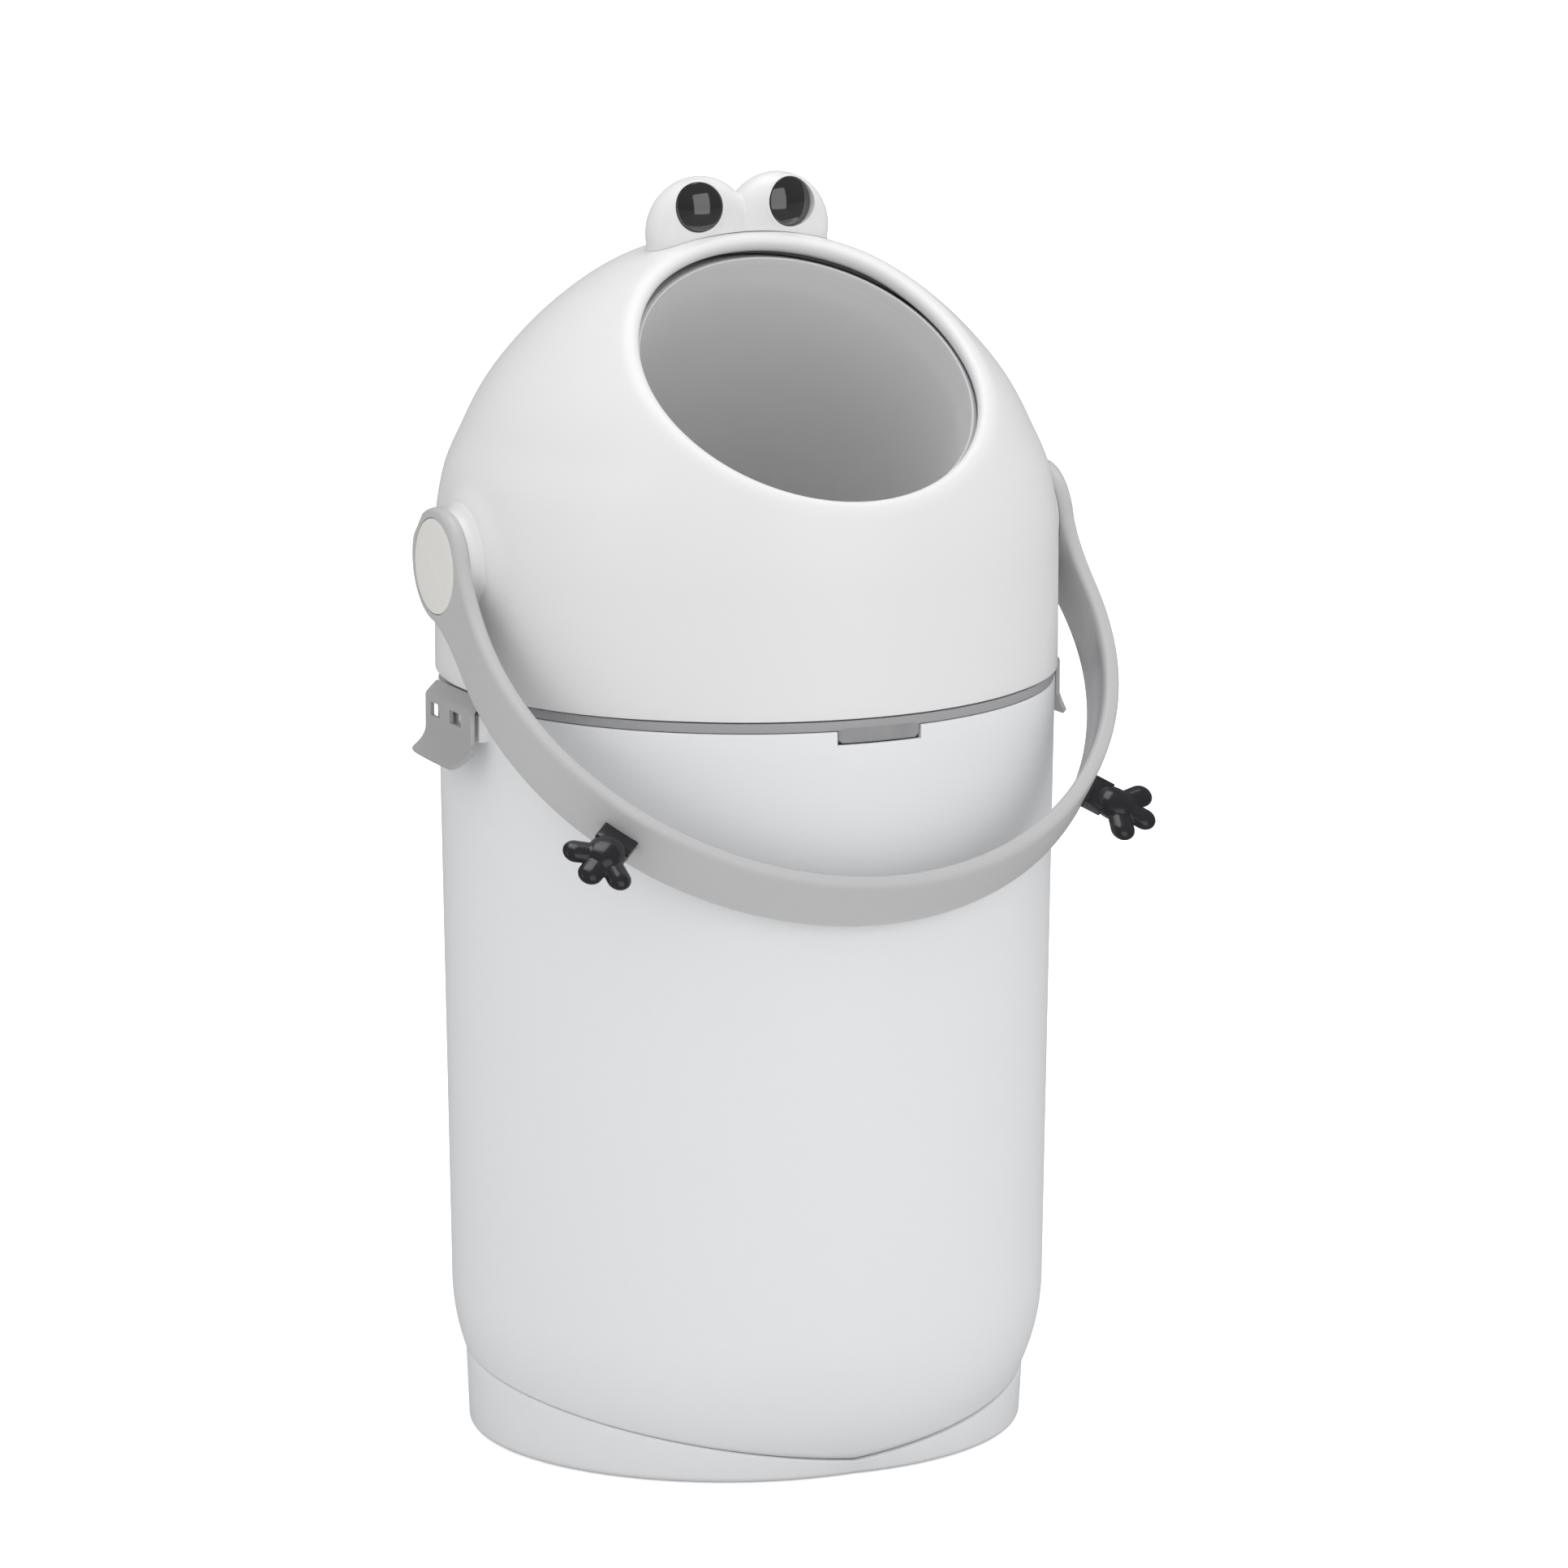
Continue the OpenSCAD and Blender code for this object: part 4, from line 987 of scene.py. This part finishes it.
# side clips, each a bent plate with two windows and three barrels on the hinge's pin
clip = sized(
    {"lipCurve": 1.9, "cornerTall": 0.9},
    front=-24.6, rear=27, thick=1.9, plateOut=147.6, topX=142.1, topZ=353.2, plateTop=348, plateLow=333,
    lipOut=155, lipZ=321.4,
    arch=0.9,    # the lower edge rises towards both ends
    archMiddle=-4, cornerFront=10, cornerBack=1.6, edge=0.7,
    frontSteps=(0, 0.3, 1, 2.2, 4, 6, 8, 10),    # in from each end, with even steps between
    middleFrom=14, middleTo=4, rearSteps=(1.2, 0.4, 0),
    bend=((0.15, 0.1), (0, 0.9)),    # in and down from where the plate turns upright
    bendEnd=2.5, windowRim=1.2,
    windows=((-6.8, 6.6), (16, 5.2)),    # middle and half width
    windowZ=341.4, windowHalf=3.1, windowX=(144, 150), barrels=((-24.6, -14.4), (-7.6, 7.6), (14.4, 27)),
    barrel=(1.06, 2.2, 0.4),    # bore, outer radius and edge
)


def lipX(share):
    return clip["plateOut"] + (clip["lipOut"] - clip["plateOut"]) * share ** clip["lipCurve"]


def clipPath():    # down the outside of the plate, as pairs of x and z
    out, top, topX, topZ = clip["plateOut"], clip["plateTop"], clip["topX"], clip["topZ"]
    windowZ, windowLow = clip["windowZ"], clip["windowZ"] - clip["windowHalf"]
    path = [(topX + (out - topX) * share, topZ + (top - topZ) * share) for share in (0, 0.3, 0.6, 0.88)]
    path += [(out - inset, top - drop) for inset, drop in clip["bend"]]
    path += [(out, z) for z in np.linspace(top - clip["bendEnd"], windowZ + clip["windowHalf"], 3)]
    path += [(out, windowZ), (out, windowLow), (out, windowLow - clip["windowRim"])]
    for share in np.linspace(0, 1, 11):
        path.append((lipX(share), clip["plateLow"] + (clip["lipZ"] - clip["plateLow"]) * share))
    return path


def clipPoint(side, x, y, z):    # below the plate the lip keeps to its rounded corners and its arch
    front, rear, plateLow = clip["front"], clip["rear"], clip["plateLow"]
    lipTall = plateLow - clip["lipZ"]
    if z < plateLow + 0.1 * mm:
        corner = clip["cornerBack"] if y > 0 else clip["cornerFront"]
        inset = max(0.0, corner - min(y - front, rear - y)) / corner
        low = clip["lipZ"] + corner * (1 - sqrt(max(0.0, 1 - inset ** 2))) * clip["cornerTall"]
        arch = clip["arch"] * ((y - clip["archMiddle"]) / (rear - (front + rear) / 2)) ** 2
        share = (plateLow - z) / lipTall
        z = plateLow + (low - plateLow) * share + arch * share ** 2
        x = lipX(max(0.0, share * ((plateLow - low) / lipTall)))
    return Vector((side * x, y, z))


def clipPlate(side):
    front, rear = clip["front"], clip["rear"]
    ys = [front + step for step in clip["frontSteps"]]
    ys += list(np.linspace(front + clip["middleFrom"], rear - clip["middleTo"], 8))
    ys += [rear - step for step in clip["rearSteps"]]
    path = clipPath()
    points = [clipPoint(side, x, y, z) for x, z in path for y in ys]
    plate = meshPiece("clip_plate", points, gridFaces(len(path), len(ys), wrapColumns=False), clipGrey)
    if sum(face.normal.x * side for face in plate.data.polygons) < 0:
        plate.data.flip_normals()
    thicken = plate.modifiers.new("thicken", "SOLIDIFY")
    setUp(thicken, thickness=clip["thick"], offset=-1, use_even_offset=True)
    soften = plate.modifiers.new("soften", "BEVEL")
    setUp(soften, width=clip["edge"], segments=3, limit_method="ANGLE", angle_limit=radians(50))
    applyModifiers(plate)
    windowZ = (clip["windowZ"] - clip["windowHalf"], clip["windowZ"] + clip["windowHalf"])
    for y, half in clip["windows"]:
        windowY = (y - half, y + half)
        cutAway(plate, sideBox("cut", side, clip["windowX"], windowY, windowZ, clip["edge"], clipGrey))
    return plate


def buildClip(side):
    label = sideName(side)
    bore, outer, edge = clip["barrel"]
    parts = [clipPlate(side)]
    for low, high in clip["barrels"]:
        parts.append(lathe("barrel", tube(bore, outer, low, high, edge), clipGrey,
                           origin=(side * clipHingeX, 0, clipHingeZ), axis=(0, 1, 0), turns=40))
    whole = joined("side_clip_" + label, parts)
    smoothShade(whole.data, 40)
    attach(whole, "clip_" + label)
    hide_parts("clip_" + label)


for side in (-1, 1):
    buildClip(side)
print("clips built")


# bore through the drum, and the ring at each of its ends
drum = sized(
    boreR=76, sleeveR=78.5, sleeveEnd=98,
    flare=14,    # the bore widens over this length to meet the ring
    ringIn=76.9, ringOut=80, ringRound=0.6, ringRise=1.1, ringFall=0.5, ringEdge=0.4,
    skirt=4, skirtGap=0.05, drumR=130,
)


def drumRise(r):    # along the bore to the drum's ball
    return sqrt(drum["drumR"] ** 2 - r ** 2)


def buildSleeve():
    end, bore = drum["sleeveEnd"], drum["boreR"]
    start = end - drum["flare"]
    spots = [*np.linspace(-end, -start, 6), *np.linspace(-start, start, 7)[1:-1], *np.linspace(start, end, 6)]
    profile = [(bore + (drum["ringIn"] - bore) * ease((abs(s) - start) / drum["flare"]), s) for s in spots]
    profile += [(drum["sleeveR"], end), (drum["sleeveR"], -end)]
    sleeve = lathe("bore_sleeve", profile, boreGrey, axis=mouthAxis, turns=192,
                   sharp=30, body="drum", slot="bore_grey_plastic")
    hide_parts("drum_sleeve")


def buildBoreRing(label, axis):
    ringIn, ringOut, curve, end = drum["ringIn"], drum["ringOut"], drum["ringRound"], drum["sleeveEnd"]
    skirtR = drum["sleeveR"] + drum["skirtGap"]
    profile = [(ringIn, end)] + arc((ringIn + curve, drumRise(ringIn) - drum["ringRise"]), curve, 180, 100, 5)
    faceRadii = np.linspace(ringIn + drum["ringRise"], ringOut - drum["ringFall"], 6)
    profile += [(r, drumRise(r)) for r in faceRadii]
    profile += [(ringOut, drumRise(ringOut) - drum["ringEdge"]), (ringOut, end - drum["skirt"])]
    profile += [(skirtR, end - drum["skirt"]), (skirtR, end)]
    ring = lathe("bore_ring_" + label, profile, boreGrey, axis=axis, turns=192,
                 sharp=35, body="drum", slot="light_grey_plastic")
    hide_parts("drum_end_ring_" + label)


buildSleeve()
buildBoreRing("front", mouthAxis)
buildBoreRing("rear", -mouthAxis)
print("bore built")


# finishes for the solids that stay as they are
finishOf = {
    "foot_pads": padRubber,
    # the mouth seal's pale tone lightens the shaded gap under the lip: painted light
    "mouth_seal": paleLipSealLiftingShade,
    "piston_disc_front": boreGrey,
    "piston_disc_rear": boreGrey,
    "piston_barrel": boreGrey,
}
for name in ("head_gasket", "drum_seal", "piston_seals"):
    finishOf[name] = sealRubber
for name in ("foot_screws", "ring_screws", "eye_pod_screws", "drum_screws", "hub_screws",
             "clip_pin_left", "clip_pin_right", "piston_weight", "piston_bolt"):
    finishOf[name] = zincSteel
for name in ("bearing_bush_left", "bearing_bush_right", "drum_half_left", "drum_half_right",
             "trunnion_left", "trunnion_right"):
    finishOf[name] = drumGrey
for name, node in nodes.items():
    node.data.materials.clear()
    node.data.materials.append(finishOf.get(name, whiteShell))
print("finishes set")


# floor, world and lamps
white = (1, 1, 1, 1)
studio = {
    "floorHalf": 12.0,
    "floorZ": -0.0005,    # just under the feet
    "floorShade": 0.86,
    "floorGlow": 0.55,    # added for the camera only
    "mirroredFloor": 0.16,    # the floor's shade in reflections
    "horizon": (-0.3, 0.74),    # height where the world starts to brighten, and its strength there
    "mirroredWorld": 0.14,
    "aim": (0, 0, 0.33),
}
lamps = {    # place, aim, width, height and power
    "window panel": ((0.35, -2.1, 0.95), (0, 0, 0.5), 1.45, 1.75, 5.9),
    "left strip": ((-1.9, -0.6, 1.0), studio["aim"], 0.4, 1.6, 1.5),
    "top panel": ((0.1, 0.1, 2.1), studio["aim"], 1.2, 1.2, 9.0),
}


def emptyTree(owner):
    owner.use_nodes = True
    owner.node_tree.nodes.clear()
    return owner.node_tree


def greyShade(value):
    return (value, value, value, 1)


def buildFloor():
    far = studio["floorHalf"]
    corners = [(x, y, studio["floorZ"]) for x, y in ((-far, -far), (far, -far), (far, far), (-far, far))]
    floor = meshPiece("studio_floor", corners, [(0, 1, 2, 3)], bpy.data.materials.new("studio floor"))
    tree = emptyTree(floor.data.materials[0])
    rays = addNode(tree, "ShaderNodeLightPath").outputs
    lift = times(tree, rays["Is Camera Ray"], studio["floorGlow"])
    glow = addNode(tree, "ShaderNodeEmission", {"Color": white, "Strength": lift})
    matte = addNode(tree, "ShaderNodeBsdfDiffuse", {"Color": greyShade(studio["floorShade"])})
    dark = addNode(tree, "ShaderNodeBsdfDiffuse", {"Color": greyShade(studio["mirroredFloor"])})
    both = addNode(tree, "ShaderNodeAddShader", {0: matte.outputs[0], 1: glow.outputs[0]})
    choice = {0: rays["Is Glossy Ray"], 1: both.outputs[0], 2: dark.outputs[0]}
    shown = addNode(tree, "ShaderNodeMixShader", choice)
    addNode(tree, "ShaderNodeOutputMaterial", {"Surface": shown.outputs[0]})


def buildWorld():    # plain white to the camera, softer as light and in reflections
    world = bpy.data.worlds.new("studio")
    bpy.context.scene.world = world
    tree = emptyTree(world)
    horizonZ, horizonStrength = studio["horizon"]
    rays = addNode(tree, "ShaderNodeLightPath").outputs
    generated = addNode(tree, "ShaderNodeTexCoord").outputs["Generated"]
    split = addNode(tree, "ShaderNodeSeparateXYZ", {0: generated})
    upward = addRange(tree, split.outputs["Z"], horizonZ, 1.0, horizonStrength)
    mirrored = addRange(tree, rays["Is Glossy Ray"], 0.0, 1.0, 1.0, studio["mirroredWorld"], "LINEAR")
    light = addNode(tree, "ShaderNodeBackground", {"Color": white, "Strength": times(tree, upward, mirrored)})
    seen = addNode(tree, "ShaderNodeBackground", {"Color": white, "Strength": 1.0})
    choice = {0: rays["Is Camera Ray"], 1: light.outputs[0], 2: seen.outputs[0]}
    shown = addNode(tree, "ShaderNodeMixShader", choice)
    addNode(tree, "ShaderNodeOutputWorld", {"Surface": shown.outputs[0]})


def softLamp(name, place, target, width, height, power):
    light = bpy.data.lights.new(name, "AREA")
    lamp = placed(name, setUp(light, shape="RECTANGLE", size=width, size_y=height, energy=power))
    lamp.location = place
    lamp.rotation_euler = (Vector(target) - Vector(place)).to_track_quat("-Z", "Y").to_euler()


buildFloor()
buildWorld()
for name, values in lamps.items():
    softLamp(name, *values)
print("studio ready")


# camera, aimed at a point beside the bin's middle
cameraSet = {
    "azimuth": radians(-25.31),
    "elevation": radians(11.64),
    "distance": 4.466,
    "lens": 224.5,
    "sensor": 36,
    "farthest": 60,
    "aimAcross": 0.01707,
    "aimHeight": 0.2974,
}


def buildCamera():
    a, e = cameraSet["azimuth"], cameraSet["elevation"]
    right = Vector((cos(a), sin(a), 0))
    back = Vector((sin(a) * cos(e), -cos(a) * cos(e), sin(e)))
    target = right * cameraSet["aimAcross"] + Vector((0, 0, cameraSet["aimHeight"]))
    data = bpy.data.cameras.new("studio camera")
    setUp(data, lens=cameraSet["lens"], sensor_width=cameraSet["sensor"], clip_end=cameraSet["farthest"])
    camera = placed("studio camera", data)
    camera.location = target + back * cameraSet["distance"]
    camera.rotation_euler = (-back).to_track_quat("-Z", "Y").to_euler()
    bpy.context.scene.camera = camera


buildCamera()
bpy.context.scene.view_settings.view_transform = "Standard"
